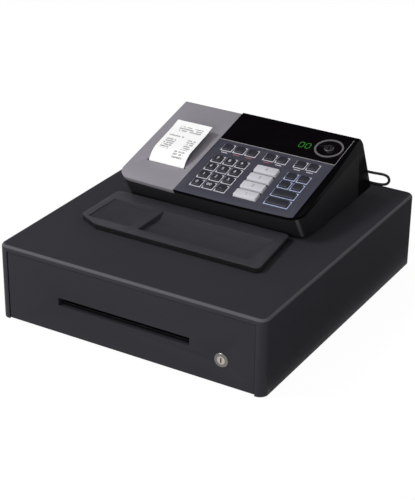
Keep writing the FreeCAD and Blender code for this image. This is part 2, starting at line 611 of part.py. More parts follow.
def lock_plug():
    """Turning plug with a key slot in its face and a cam at its end."""
    cam_y = -HALF_DEPTH + LOCK_LENGTH + SHOE_GAP
    plug = rod(LOCK_PLUG, LOCK_LENGTH + SHOE_GAP + LOCK_CAM_THICKNESS, (LOCK_X, -HALF_DEPTH, LOCK_Z), (0, 1, 0))
    half = LOCK_CAM_WIDTH / 2
    cam = block(LOCK_X - half, LOCK_X + LOCK_CAM_LENGTH, cam_y, cam_y + LOCK_CAM_THICKNESS,
                LOCK_Z - half, LOCK_Z + half)
    key_slot = block(LOCK_X - KEY_SLOT_WIDTH / 2, LOCK_X + KEY_SLOT_WIDTH / 2, -HALF_DEPTH - 1,
                     -HALF_DEPTH + KEY_SLOT_DEPTH, LOCK_Z - KEY_SLOT_LENGTH / 2, LOCK_Z + KEY_SLOT_LENGTH / 2)
    return plug.fuse(cam).cut(key_slot).removeSplitter()


# ---- register housing ------------------------------------------------------------------------------
def front_outline(half, front, radius):
    """The edges of the housing's plan: a bulging front with two tangent corners, open towards the back."""
    straight = half - radius
    bow_radius = (straight ** 2 + REGISTER_BOW ** 2) / (2 * REGISTER_BOW)
    turn = math.asin(straight / bow_radius)
    corner = radius / (1 - math.sin(turn))
    end = FreeCAD.Vector(straight, front + REGISTER_BOW, 0)
    centre = end + FreeCAD.Vector(-math.sin(turn), math.cos(turn), 0) * corner
    middle_turn = (math.pi / 2 + turn) / 2
    on_corner = centre + FreeCAD.Vector(math.sin(middle_turn), -math.cos(middle_turn), 0) * corner
    side = FreeCAD.Vector(half, centre.y, 0)
    far = FreeCAD.Vector(half, FAR, 0)
    mirror = lambda point: FreeCAD.Vector(-point.x, point.y, 0)
    return [Part.Arc(mirror(end), FreeCAD.Vector(0, front, 0), end).toShape(),
            Part.Arc(end, on_corner, side).toShape(), Part.makeLine(side, far),
            Part.makeLine(far, mirror(far)), Part.makeLine(mirror(far), mirror(side)),
            Part.Arc(mirror(side), mirror(on_corner), mirror(end)).toShape()]


def register_block(inset, top_drop, base):
    """The housing's form, drawn in by a wall and by the top's thickness.

    The front is a leaning prism that bulges in plan. The top slopes, and the back leans the other way.
    """
    lean = math.atan2(REGISTER_UNDERCUT, REGISTER_FRONT_HEIGHT)
    plan = Part.Wire(front_outline(REGISTER_HALF - inset, inset, max(REGISTER_CORNER - inset, WALL)))
    front = Part.Face(plan).extrude(FreeCAD.Vector(0, 0, 2 * FAR))
    front.translate(FreeCAD.Vector(0, 0, -FAR))
    front.rotate(FreeCAD.Vector(0, 0, 0), FreeCAD.Vector(1, 0, 0), math.degrees(lean))
    front.translate(FreeCAD.Vector(0, REGISTER_FRONT_Y, REGISTER_FRONT_Z))

    back_y, back_z = slope_point(REGISTER_SLOPE_LENGTH, 0)
    tail = math.atan2(REGISTER_TAIL, back_z - REGISTER_BASE)
    top_z = REGISTER_FRONT_Z - top_drop / math.cos(SLOPE) - REGISTER_FRONT_Y * math.tan(SLOPE)
    back_at_zero = back_y - inset / math.cos(tail) + back_z * math.tan(tail)
    meet_y = (back_at_zero - top_z * math.tan(tail)) / (1 + math.tan(SLOPE) * math.tan(tail))
    side = side_prism([((base - top_z) / math.tan(SLOPE), base),
                       (meet_y, top_z + meet_y * math.tan(SLOPE)),
                       (back_at_zero - base * math.tan(tail), base)], -FAR, FAR)
    body = front.common(side)
    back_corners = [edge for edge in body.Edges
                    if edge.BoundBox.XLength < 0.01 and edge.BoundBox.ZLength > edge.BoundBox.YLength
                    and edge.BoundBox.YMax > meet_y]
    body = body.makeFillet(max(REGISTER_BACK_CORNER - inset, PANEL_GAP), back_corners)
    body.translate(FreeCAD.Vector(REGISTER_X, 0, 0))
    return body


def slope_block(x0, x1, s0, s1, h0, h1):
    """A box in the flat frame of the register's top, put in its place."""
    return on_slope(block(x0, x1, s0, s1, h0, h1))


def shoulder_cut():
    """The bevel that runs out along the housing's right top edge."""
    start = (REGISTER_RIGHT + 1, SHOULDER_START, 0)
    end_top = (REGISTER_RIGHT - SHOULDER_WIDTH, REGISTER_SLOPE_LENGTH, 0)
    end_side = (REGISTER_RIGHT, REGISTER_SLOPE_LENGTH, -SHOULDER_DROP)
    a, b, c = FreeCAD.Vector(*start), FreeCAD.Vector(*end_top), FreeCAD.Vector(*end_side)
    normal = (b - a).cross(c - a)
    normal.normalize()
    if normal.z < 0:
        normal = normal * -1
    plane = Part.makePlane(FAR, FAR, a, normal)
    middle = plane.BoundBox.Center
    plane.translate(a - middle)
    return on_slope(plane.extrude(normal * FAR))


def hinge_axis():
    """The (y, z) place of the printer cover's hinge."""
    return slope_point(HINGE_S, -HINGE_RADIUS)


def hinge_ears():
    """The left and right x of the two ears that hold the cover's hinge pins."""
    left = REGISTER_LEFT + COVER_SHEET + COVER_GAP
    return [(left, left + HINGE_LUG), (DIVIDER_X, DIVIDER_X + LEDGE)]


def panel_zone(x0, x1, s0, s1, gap):
    """The space of the panels on the housing's top, which follows the bulging front at a distance."""
    zone = slope_block(x0 + gap, x1 - gap, s0 + gap, s1 - gap, -PANEL_THICKNESS, RIM_DEPTH)
    return zone.common(register_block(PANEL_FRONT + gap, -2 * RIM_DEPTH, REGISTER_BASE))


def register_case():
    """Moulded upper housing: walls, rim and ledges for the panels, divider, screw bosses, hinge ears."""
    outer = register_block(0, 0, REGISTER_BASE)
    hollow = register_block(WALL, RIM_DEPTH, REGISTER_BASE - 1)
    case = outer.cut(hollow)

    inside = register_block(WALL - 1, RIM_DEPTH - 1, REGISTER_BASE)
    divider = block(DIVIDER_X, DIVIDER_X + LEDGE, -FAR, FAR, REGISTER_BASE + BASE_PLATE, FAR).common(inside)
    seam_bar = slope_block(DIVIDER_X, PANEL_RIGHT + 1, SEAM - SEAM_BAR / 2, SEAM + SEAM_BAR / 2,
                           -RIM_DEPTH, -RIM_DEPTH + 1.5)
    front_boss, back_boss = REGISTER_FRONT_Y + REGISTER_CORNER + REGISTER_UNDERCUT, ROLL_Y + ROLL_RADIUS + BOSS_INSET
    bosses = []
    boss_inset = WALL + BOSS_RADIUS - BOSS_BITE
    for x in (REGISTER_LEFT + boss_inset, REGISTER_RIGHT - boss_inset):
        for y in (front_boss, back_boss):
            column = rod(BOSS_RADIUS, FAR, (x, y, REGISTER_BASE + BASE_PLATE), (0, 0, 1))
            bosses.append(column.common(inside))
    case = case.fuse([divider, seam_bar] + bosses)

    panels = panel_zone(DIVIDER_X - 1, PANEL_RIGHT, -FAR, DISPLAY_END, 0)
    keys = slope_block(DIVIDER_X + LEDGE, PANEL_RIGHT - LEDGE, -FAR, SEAM - SEAM_BAR / 2, -RIM_DEPTH - 2, FAR)
    keys = keys.common(register_block(PANEL_FRONT + LEDGE, -RIM_DEPTH, REGISTER_BASE))
    display = slope_block(DIVIDER_X + LEDGE, PANEL_RIGHT - LEDGE, SEAM + SEAM_BAR / 2, DISPLAY_END - LEDGE,
                          -RIM_DEPTH - 2, 1)
    y, z = hinge_axis()
    bay = slope_block(-FAR, DIVIDER_X, -FAR, FAR, -COVER_SKIRT - COVER_GAP, FAR)
    barrel_space = rod(HINGE_RADIUS + COVER_GAP, FAR, (DIVIDER_X - FAR, y, z), (1, 0, 0))
    case = case.cut([panels, keys, display, bay, barrel_space, shoulder_cut()])

    (ear_x0, ear_x1), (lug_x0, lug_x1) = hinge_ears()
    below_barrel = -2 * HINGE_RADIUS - COVER_GAP
    ear = slope_block(ear_x0, ear_x1, HINGE_S - HINGE_EAR, HINGE_S, below_barrel - WALL, -HINGE_RADIUS)
    foot = slope_block(ear_x0 - 2 * COVER_GAP, ear_x1, HINGE_S - HINGE_EAR - WALL, HINGE_S,
                       below_barrel - WALL, below_barrel)
    knuckle = rod(HINGE_EAR, ear_x1 - ear_x0, (ear_x0, y, z), (1, 0, 0))
    lug = slope_block(lug_x0, lug_x1, HINGE_S - HINGE_RADIUS, HINGE_S + HINGE_EAR, -2 * HINGE_RADIUS,
                      -PANEL_THICKNESS)
    bore = rod(HINGE_PIN + PIN_CLEAR, 2 * REGISTER_WIDTH, (-REGISTER_WIDTH, y, z), (1, 0, 0))
    bore = bore.common(block(ear_x0, lug_x1, -FAR, FAR, 0, FAR))
    route = cable_route()
    outlet = rod(GLAND_RADIUS + HOLE_CLEAR, 60, tuple(route[0] - FreeCAD.Vector(0, 40, 0)), (0, 1, 0))
    return case.fuse([ear, foot, knuckle, lug]).cut([bore, outlet]).removeSplitter()


def register_base():
    """Bottom plate with pads that stand on the cabinet and posts that carry the board."""
    plate = register_block(WALL + PANEL_GAP, RIM_DEPTH, REGISTER_BASE)
    plate = plate.common(block(-FAR, FAR, -FAR, FAR, REGISTER_BASE, REGISTER_BASE + BASE_PLATE))
    box = plate.BoundBox
    parts = []
    for x in (box.XMin + 2 * BOSS_INSET, box.XMax - 2 * BOSS_INSET):
        for y in (box.YMin + 2 * BOSS_INSET, box.YMax - 2 * BOSS_INSET):
            parts.append(rod(FOOT_RADIUS, REGISTER_STAND + 1, (x, y, CABINET_TOP), (0, 0, 1)))
    below_board = slope_block(-FAR, FAR, -FAR, FAR, BOARD_H - BOARD_THICKNESS - FAR, BOARD_H - BOARD_THICKNESS)
    for x in board_post_x():
        for s in board_post_s():
            y, _ = slope_point(s, BOARD_H)
            post = rod(BOARD_POST, FAR / 4, (x, y, REGISTER_BASE + 1), (0, 0, 1))
            parts.append(post.common(below_board))
    return plate.fuse(parts).removeSplitter()


def board_span():
    """The board's left, right, front and back in the frame of the register's top."""
    margin = 2 * LEDGE
    return (DIVIDER_X + LEDGE + margin, PANEL_RIGHT - LEDGE - margin - BOSS_INSET,
            PANEL_FRONT + LEDGE + margin, SEAM + margin)


def board_post_x():
    """Across: the posts stand under the board's ends."""
    left, right, _, _ = board_span()
    return (left + 2 * BOARD_POST, right - 2 * BOARD_POST)


def board_post_s():
    """Along the slope: the front posts stand behind the leaning front wall."""
    _, _, front, back = board_span()
    return (front + REGISTER_UNDERCUT + 2 * BOARD_POST, back - 2 * BOARD_POST)


def circuit_board():
    """Main board under the keys."""
    left, right, front, back = board_span()
    return slope_block(left, right, front, back, BOARD_H - BOARD_THICKNESS, BOARD_H)


# ---- keyboard --------------------------------------------------------------------------------------
def key_layout():
    """Every key as (name, centre x, centre s, width, length)."""
    size = (KEY_WIDTH, KEY_LENGTH)
    keys = [("key_top_%d" % (number + 1), x, KEY_TOP_S) + size for number, x in enumerate(TOP_ROW_X)]
    rows = [KEY_FIRST_S + row * KEY_PITCH_S for row in range(4)]
    for row, s in enumerate(rows):
        for column in range(3):
            keys.append(("key_digit_%d" % (3 * row + column + 1), DIGIT_X + column * KEY_PITCH_X, s) + size)
        keys.append(("key_department_%d" % (row + 1), DEPARTMENT_X, s, DEPARTMENT_WIDTH, DEPARTMENT_LENGTH))
    wide_middle = ACTION_X + KEY_PITCH_X / 2
    keys.append(("key_total", wide_middle, rows[0], WIDE_WIDTH, KEY_LENGTH))
    keys.append(("key_subtotal", wide_middle, rows[1], WIDE_WIDTH, KEY_LENGTH))
    for number in range(4):
        x = ACTION_X + (number % 2) * KEY_PITCH_X
        keys.append(("key_action_%d" % (number + 1), x, rows[2 + number // 2]) + size)
    return keys


def key_cap(x, s, width, length):
    """Tapered cap with a retaining flange under the panel and a stem."""
    foot = -PANEL_THICKNESS - KEY_FLANGE_GAP
    low = cornered_outline(x, s, width, length, KEY_CORNER, foot)
    high = cornered_outline(x, s, width - 2 * KEY_TAPER, length - 2 * KEY_TAPER, KEY_CORNER, KEY_HEIGHT)
    cap = frustum(low, high)
    reach = KEY_FLANGE
    flange = block(x - width / 2 - reach, x + width / 2 + reach, s - length / 2 - reach,
                   s + length / 2 + reach, foot - KEY_FLANGE_THICKNESS, foot)
    stem_end = BOARD_H + KEY_TRAVEL + 2 * KEY_GAP
    stem = block(x - KEY_STEM / 2, x + KEY_STEM / 2, s - KEY_STEM / 2, s + KEY_STEM / 2, stem_end, foot)
    return on_slope(cap.fuse([flange, stem]).removeSplitter())


def cornered_outline(x, s, width, length, corner, height):
    """The corners of a rectangle with cut corners, at one height."""
    half_w, half_l = width / 2, length / 2
    points = []
    for a, b, first in ((-1, -1, "s"), (1, -1, "x"), (1, 1, "s"), (-1, 1, "x")):
        beside = (x + a * (half_w - corner), s + b * half_l)
        before = (x + a * half_w, s + b * (half_l - corner))
        points += [before, beside] if first == "s" else [beside, before]
    return [(px, py, height) for px, py in points]


def keyboard_panel():
    """Bezel with an aperture for every key."""
    panel = panel_zone(DIVIDER_X, PANEL_RIGHT, -FAR, SEAM + PANEL_GAP / 2, PANEL_GAP)
    panel = panel.common(slope_block(-FAR, FAR, -FAR, FAR, -PANEL_THICKNESS, 0))
    holes = []
    for _, x, s, width, length in key_layout():
        half_w, half_l = width / 2 + KEY_GAP, length / 2 + KEY_GAP
        holes.append(slope_block(x - half_w, x + half_w, s - half_l, s + half_l, -PANEL_THICKNESS - 1, 1))
    return panel.cut(holes)


def display_lens():
    """Gloss panel over the display, with a hole for the mode switch."""
    lens = block(DIVIDER_X + PANEL_GAP, PANEL_RIGHT - PANEL_GAP, SEAM + PANEL_GAP / 2,
                 DISPLAY_END - PANEL_GAP, -PANEL_THICKNESS, 0)
    hole = rod(MODE_PLUG + PIN_CLEAR, 3 * PANEL_THICKNESS, (MODE_X, MODE_S, -2 * PANEL_THICKNESS), (0, 0, 1))
    return on_slope(lens.cut(hole))


def mode_ring():
    """Raised ring round the mode switch."""
    ring = rod(MODE_RING, MODE_RING_HEIGHT, (MODE_X, MODE_S, 0), (0, 0, 1))
    inside = rod(MODE_RING - MODE_RING_WIDTH, 3 * MODE_RING_HEIGHT, (MODE_X, MODE_S, -MODE_RING_HEIGHT), (0, 0, 1))
    return on_slope(ring.cut(inside))


def mode_dial():
    """Turning plug of the mode switch, with a key slot and a collar under the panel."""
    plug = rod(MODE_PLUG, MODE_PLUG_DEPTH + MODE_PLUG_HEIGHT, (MODE_X, MODE_S, -MODE_PLUG_DEPTH), (0, 0, 1))
    rim = [edge for edge in plug.Edges if edge.BoundBox.ZMin > MODE_PLUG_HEIGHT - 1e-4]
    plug = plug.makeChamfer(MODE_PLUG_HEIGHT / 3, rim)
    collar_top = -PANEL_THICKNESS - KEY_FLANGE_GAP
    collar = rod(MODE_PLUG + KEY_FLANGE, collar_top + MODE_PLUG_DEPTH, (MODE_X, MODE_S, -MODE_PLUG_DEPTH), (0, 0, 1))
    slot = block(MODE_X - KEY_SLOT_WIDTH / 2, MODE_X + KEY_SLOT_WIDTH / 2, MODE_S - MODE_SLOT_LENGTH / 2,
                 MODE_S + MODE_SLOT_LENGTH / 2, -PANEL_THICKNESS, MODE_PLUG_HEIGHT + 1)
    return on_slope(plug.fuse(collar).cut(slot).removeSplitter())


# ---- printer ---------------------------------------------------------------------------------------
def printer_cover():
    """Lid over the printer: a sheet with skirts, a paper slot, and a hinge barrel with pins."""
    reach = register_block(0, 0, REGISTER_BASE)
    drawn_in = register_block(COVER_SHEET, 0, REGISTER_BASE)
    zone = slope_block(-FAR, COVER_RIGHT, -FAR, HINGE_S, -COVER_SKIRT, FAR)
    lid = reach.common(zone)
    under = slope_block(-FAR, COVER_RIGHT - COVER_SHEET, -FAR, FAR, -FAR, -COVER_SHEET)
    lid = lid.cut(under.common(drawn_in))
    slot_front = PAPER_EXIT_S - COVER_SHEET / math.tan(math.radians(PAPER_EXIT_ANGLE)) - SLOT_MARGIN
    half = PAPER_WIDTH / 2 + SLOT_SIDE
    slot = slope_block(PAPER_CENTRE_X - half, PAPER_CENTRE_X + half, slot_front, slot_front + SLOT_WIDTH,
                       -2 * COVER_SKIRT, FAR)
    y, z = hinge_axis()
    rear = rod(HINGE_RADIUS, COVER_RIGHT - REGISTER_LEFT, (REGISTER_LEFT, y, z), (1, 0, 0))
    (_, left_ear), (_, lug_end) = hinge_ears()
    ear_space = block(REGISTER_LEFT + COVER_SHEET, left_ear + COVER_GAP, -FAR, FAR, 0, FAR)
    ear_space = ear_space.common(rod(HINGE_EAR + EAR_CLEAR, FAR, (-FAR, y, z), (1, 0, 0)).fuse(
        slope_block(-FAR, FAR, HINGE_S - 2 * HINGE_RADIUS, FAR, -FAR, -HINGE_RADIUS)))
    pins = rod(HINGE_PIN, lug_end - REGISTER_LEFT - COVER_SHEET, (REGISTER_LEFT + COVER_SHEET, y, z), (1, 0, 0))
    return lid.cut(slot).fuse(rear.common(reach)).cut(ear_space).fuse(pins).removeSplitter()


def receipt_strip():
    """Paper that rises from the slot, bends back and lies above the cover with its end curled up."""
    lean = math.radians(PAPER_EXIT_ANGLE)
    tail = PAPER_EXIT_S - COVER_SKIRT / math.tan(lean)
    level_s = PAPER_EXIT_S + PAPER_BEND
    middle_angle = 0.62 * lean
    chord = math.hypot(PAPER_BEND, PAPER_LEVEL)
    middle = (PAPER_EXIT_S + 0.5 * chord * math.cos(middle_angle), 0.5 * chord * math.sin(middle_angle) + 0.4)
    curl_s = PAPER_END_S - PAPER_BEND / 1.6
    start, bend_start = FreeCAD.Vector(0, tail, -COVER_SKIRT), FreeCAD.Vector(0, PAPER_EXIT_S, 0)
    bend_end = FreeCAD.Vector(0, level_s, PAPER_LEVEL)
    curl_start = FreeCAD.Vector(0, curl_s, PAPER_LEVEL + 1)
    curl_middle = FreeCAD.Vector(0, (curl_s + PAPER_END_S) / 2, PAPER_LEVEL + 1 + 0.35 * PAPER_CURL)
    end = FreeCAD.Vector(0, PAPER_END_S, PAPER_LEVEL + PAPER_CURL)
    path = Part.Wire([Part.makeLine(start, bend_start),
                      Part.Arc(bend_start, FreeCAD.Vector(0, *middle), bend_end).toShape(),
                      Part.makeLine(bend_end, curl_start),
                      Part.Arc(curl_start, curl_middle, end).toShape()])
    sheet = path.makeOffset2D(PAPER_SHEET, fill=True, openResult=True)
    sheet.translate(FreeCAD.Vector(PAPER_CENTRE_X - PAPER_WIDTH / 2, 0, 0))
    return on_slope(sheet.extrude(FreeCAD.Vector(PAPER_WIDTH, 0, 0)))


def frame_sides():
    """The outer x of the printer frame's two side plates."""
    reach = PAPER_WIDTH / 2 + FRAME_SIDE_GAP + FRAME_SHEET
    return (PAPER_CENTRE_X - reach, PAPER_CENTRE_X + reach)


def roll_z():
    """Height of the paper roll's axis above the frame's floor and cradle."""
    return REGISTER_BASE + BASE_PLATE + CRADLE_SHEET + ROLL_GAP + ROLL_RADIUS


def printer_frame():
    """Chassis: side plates that carry the platen, a print head, and a cradle for the paper roll."""
    left, right = frame_sides()
    floor = REGISTER_BASE + BASE_PLATE
    platen_y, platen_z = slope_point(PLATEN_S, -PLATEN_DROP)
    outline = [(platen_y - 3 * PLATEN_RADIUS, floor), (platen_y - 2 * PLATEN_RADIUS, platen_z - PLATEN_RADIUS),
               (platen_y - PLATEN_RADIUS, platen_z + PLATEN_RADIUS), (platen_y + PLATEN_RADIUS, platen_z + PLATEN_RADIUS),
               (platen_y + 3 * PLATEN_RADIUS, floor)]
    pieces = [side_prism(outline, left, left + FRAME_SHEET), side_prism(outline, right - FRAME_SHEET, right)]
    sole_front, sole_back = platen_y - 3 * PLATEN_RADIUS, ROLL_Y + ROLL_RADIUS / 2
    pieces.append(block(left, right, sole_front, sole_back, floor, floor + FRAME_SHEET))
    head_y = platen_y - PLATEN_RADIUS - SHOE_GAP
    pieces.append(block(left, right, head_y - HEAD_SIZE / 2, head_y, floor, platen_z + PLATEN_RADIUS / 2))
    bores = [rod(PLATEN_SHAFT + PIN_CLEAR, right - left + 2, (left - 1, platen_y, platen_z), (1, 0, 0))]
    frame = pieces[0].fuse(pieces[1:]).cut(bores)

    inner, outer = ROLL_RADIUS + ROLL_GAP, ROLL_RADIUS + ROLL_GAP + CRADLE_SHEET
    tube = rod(outer, right - left, (left, ROLL_Y, roll_z()), (1, 0, 0))
    tube = tube.cut(rod(inner, right - left + 2, (left - 1, ROLL_Y, roll_z()), (1, 0, 0)))
    edge_y = FAR * math.sin(math.radians(CRADLE_ANGLE))
    edge_z = FAR * math.cos(math.radians(CRADLE_ANGLE))
    wedge = side_prism([(ROLL_Y, roll_z()), (ROLL_Y - edge_y, roll_z() - edge_z),
                        (ROLL_Y + edge_y, roll_z() - edge_z)], left, right)
    ribs = []
    for x in (left, right - FRAME_SHEET):
        rib = block(x, x + FRAME_SHEET, ROLL_Y - ROLL_RADIUS / 1.5, ROLL_Y + ROLL_RADIUS / 2, floor,
                    roll_z() - ROLL_RADIUS / 2)
        ribs.append(rib.cut(rod(outer - CRADLE_SHEET / 2, FRAME_SHEET + 2, (x - 1, ROLL_Y, roll_z()), (1, 0, 0))))
    return frame.fuse([tube.common(wedge)] + ribs).removeSplitter()


def platen_roller():
    """Rubber platen on its shaft."""
    left, right = frame_sides()
    y, z = slope_point(PLATEN_S, -PLATEN_DROP)
    shaft = rod(PLATEN_SHAFT, right - left, (left, y, z), (1, 0, 0))
    roller = rod(PLATEN_RADIUS, PAPER_WIDTH, (PAPER_CENTRE_X - PAPER_WIDTH / 2, y, z), (1, 0, 0))
    return roller.fuse(shaft).removeSplitter()


def paper_roll():
    """Roll of receipt paper with an open core."""
    x0 = PAPER_CENTRE_X - PAPER_WIDTH / 2
    roll = rod(ROLL_RADIUS, PAPER_WIDTH, (x0, ROLL_Y, roll_z()), (1, 0, 0))
    return roll.cut(rod(ROLL_CORE, PAPER_WIDTH + 2, (x0 - 1, ROLL_Y, roll_z()), (1, 0, 0)))


# ---- clerk tray ------------------------------------------------------------------------------------
def tray_outline(inset):
    """The tray's plan: a slanted front left corner and a right end that slants in towards the back."""
    cut = TRAY_CUT
    return [(TRAY_LEFT_X + cut, TRAY_FRONT_Y + inset), (TRAY_RIGHT_FRONT_X - inset, TRAY_FRONT_Y + inset),
            (TRAY_RIGHT_BACK_X - inset, TRAY_BACK_Y - inset), (TRAY_LEFT_X + inset, TRAY_BACK_Y - inset),
            (TRAY_LEFT_X + inset, TRAY_FRONT_Y + cut / 2 + inset)]


def clerk_tray():
    """Shallow tray with a ramp in its left compartment and a slanted strip in its right one."""
    top = TRAY_BASE + TRAY_HEIGHT
    floor = TRAY_BASE + TRAY_FLOOR
    body = plan_prism(tray_outline(0), TRAY_BASE, top)
    body = body.makeFillet(TRAY_ROUND, upright_edges(body))
    front, back = TRAY_FRONT_Y + TRAY_RIM, TRAY_BACK_Y - TRAY_BACK_RIM
    half = TRAY_DIVIDER / 2
    left_x, split_left = TRAY_LEFT_X + TRAY_SIDE_RIM, TRAY_DIVIDER_X - half
    left_pocket = side_pocket(left_x, split_left, front, back, floor, top, TRAY_SCOOP)
    right_x = TRAY_RIGHT_BACK_X - TRAY_SIDE_RIM
    right = side_prism([(front, floor), (front, top + 1), (back, top + 1), (back, top - 1),
                        (back - TRAY_SLOPE_STRIP, floor)], TRAY_DIVIDER_X + half, right_x)
    return body.cut([left_pocket, right]).removeSplitter()


def side_pocket(x0, x1, y0, y1, floor, top, ramp):
    """A pocket whose floor ramps up to the rim at its left end."""
    outline = [(x0, y0, top + 1), (x0, y0, top - 1), (x0 + ramp, y0, floor), (x1, y0, floor), (x1, y0, top + 1)]
    return polygon(outline).extrude(FreeCAD.Vector(0, y1 - y0, 0))


# ---- drawer cable ----------------------------------------------------------------------------------
def cable_route():
    """The route's points, moved with the cabinet's back and top."""
    move = FreeCAD.Vector(0, HALF_DEPTH - CABLE_BACK_Y, CABINET_TOP - CABLE_TOP_Z)
    return [FreeCAD.Vector(*point) + move for point in CABLE_ROUTE]


def cable_path():
    """Straight runs joined by tangent arcs, each as large as its two runs allow."""
    route = cable_route()
    edges = []
    radii = []
    last = route[0]
    for before, corner, after in zip(route, route[1:], route[2:]):
        incoming = (corner - before).normalize()
        outgoing = (after - corner).normalize()
        half_turn = incoming.getAngle(outgoing) / 2
        reach = 0.45 * min(before.distanceToPoint(corner), corner.distanceToPoint(after))
        radius = reach / math.tan(half_turn)
        start, end = corner - incoming * reach, corner + outgoing * reach
        inward = (outgoing - incoming).normalize()
        middle = corner + inward * (radius / math.cos(half_turn) - radius)
        edges.append(Part.makeLine(last, start))
        edges.append(Part.Arc(start, middle, end).toShape())
        radii.append(radius)
        last = end
    edges.append(Part.makeLine(last, route[-1]))
    return Part.Wire(edges), radii


def drawer_cable():
    """Cable from the register's back to the cabinet's top, which lies in a loop behind the register."""
    path, radii = cable_path()
    pieces = []
    for edge in path.Edges:
        start = edge.valueAt(edge.FirstParameter)
        direction = edge.tangentAt(edge.FirstParameter)
        disc = Part.Face(Part.Wire(Part.makeCircle(CABLE_RADIUS, start, direction)))
        if isinstance(edge.Curve, Part.Line):
            pieces.append(disc.extrude(direction * edge.Length))
        else:
            angle = math.degrees(edge.Length / edge.Curve.Radius)
            pieces.append(disc.revolve(edge.Curve.Center, edge.Curve.Axis, angle))
    tube = pieces[0].fuse(pieces[1:]).removeSplitter()
    expected = math.pi * CABLE_RADIUS ** 2 * path.Length
    print("cable radii", [round(radius, 1) for radius in radii])
    print("cable length %.1f volume %.1f expected %.1f" % (path.Length, tube.Volume, expected))
    return tube


def revolved(outline, base, direction):
    """A solid of revolution: (radius, height) points round an axis through a base point."""
    face = polygon([(radius, 0, height) for radius, height in outline])
    solid = face.revolve(FreeCAD.Vector(0, 0, 0), FreeCAD.Vector(0, 0, 1), 360)
    turn = FreeCAD.Rotation(FreeCAD.Vector(0, 0, 1), FreeCAD.Vector(*direction))
    solid.Placement = FreeCAD.Placement(FreeCAD.Vector(*base), turn)
    return solid


def cable_glands():
    """Tapered gland in the register's back and flanged grommet in the cabinet's top."""
    x, y, z = cable_route()[0]
    length = 16.0
    taper = 4.0
    gland = revolved([(0, 0), (GLAND_RADIUS, 0), (GLAND_RADIUS, length - taper), (GLAND_TIP, length), (0, length)],
                     (x, y - length, z), (0, 1, 0))
    x, y, z = cable_route()[-1]
    head = z - CABINET_TOP
    under = SHEET + head
    grommet = revolved([(0, -under), (GROMMET_HEAD, -under), (GROMMET_HEAD, -SHEET), (GLAND_RADIUS, -SHEET),
                        (GLAND_RADIUS, 0), (GROMMET_HEAD, 0), (GROMMET_HEAD - head / 2, head), (0, head)],
                       (x, y, CABINET_TOP), (0, 0, 1))
    return Part.makeCompound([gland, grommet])


# ---- all pieces ------------------------------------------------------------------------------------
def all_pieces():
    """Every node's name with the function that makes it."""
    pieces = {
        "cabinet_shell": cabinet_shell, "cabinet_base": cabinet_base, "cabinet_feet": cabinet_feet,
        "cabinet_rails": cabinet_rails, "release_solenoid": release_solenoid, "latch_lever": latch_lever,
        "drawer_box": drawer_box, "drawer_front": drawer_front, "drawer_runners": drawer_runners,
        "till_insert": till_insert, "lock_barrel": lock_barrel, "lock_plug": lock_plug,
        "register_base": register_base, "register_case": register_case, "keyboard_panel": keyboard_panel,
        "display_lens": display_lens, "mode_ring": mode_ring, "mode_dial": mode_dial,
        "printer_frame": printer_frame, "platen_roller": platen_roller, "paper_roll": paper_roll,
        "printer_cover": printer_cover, "receipt_strip": receipt_strip, "clerk_tray": clerk_tray,
        "circuit_board": circuit_board, "cable_glands": cable_glands, "drawer_cable": drawer_cable,
    }
    for number, middle in enumerate(clip_centres()):
        pieces["bill_clip_%d" % (number + 1)] = lambda middle=middle: bill_clip(middle)
    for name, x, s, width, length in key_layout():
        pieces[name] = lambda x=x, s=s, width=width, length=length: key_cap(x, s, width, length)
    return pieces


os.makedirs("parts", exist_ok=True)
for node, make in all_pieces().items():
    shape = make()
    if not shape.isValid():
        print("not valid:", node)
    shape.exportStep(os.path.join("parts", node + ".step"))
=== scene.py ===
"""Electronic cash register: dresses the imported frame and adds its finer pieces."""

import json
import logging
import math
from dataclasses import dataclass, field
from enum import Enum
from typing import Any, Sequence

import bmesh
import bpy
from mathutils import Matrix, Vector

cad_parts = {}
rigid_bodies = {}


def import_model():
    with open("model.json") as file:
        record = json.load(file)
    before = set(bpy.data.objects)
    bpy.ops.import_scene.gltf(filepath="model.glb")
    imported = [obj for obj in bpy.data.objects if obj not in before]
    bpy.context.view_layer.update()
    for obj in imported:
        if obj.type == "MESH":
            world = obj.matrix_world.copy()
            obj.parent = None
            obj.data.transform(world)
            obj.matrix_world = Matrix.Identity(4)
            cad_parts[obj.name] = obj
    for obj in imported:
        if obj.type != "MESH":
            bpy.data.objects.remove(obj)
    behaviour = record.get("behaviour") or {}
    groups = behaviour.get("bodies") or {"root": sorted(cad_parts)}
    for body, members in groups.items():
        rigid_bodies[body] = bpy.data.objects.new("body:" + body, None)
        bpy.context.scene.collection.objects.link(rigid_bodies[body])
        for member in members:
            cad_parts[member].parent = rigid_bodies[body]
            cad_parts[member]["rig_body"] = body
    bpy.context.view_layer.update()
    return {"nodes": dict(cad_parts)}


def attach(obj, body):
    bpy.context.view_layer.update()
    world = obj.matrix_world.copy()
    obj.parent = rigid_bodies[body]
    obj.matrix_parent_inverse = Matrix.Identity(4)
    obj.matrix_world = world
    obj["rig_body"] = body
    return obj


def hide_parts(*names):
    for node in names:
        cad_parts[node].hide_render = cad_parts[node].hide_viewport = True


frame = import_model()

log = logging.getLogger("cash_register")
MM = 0.001
Point = tuple[float, float, float]
Colour = tuple[float, float, float, float]


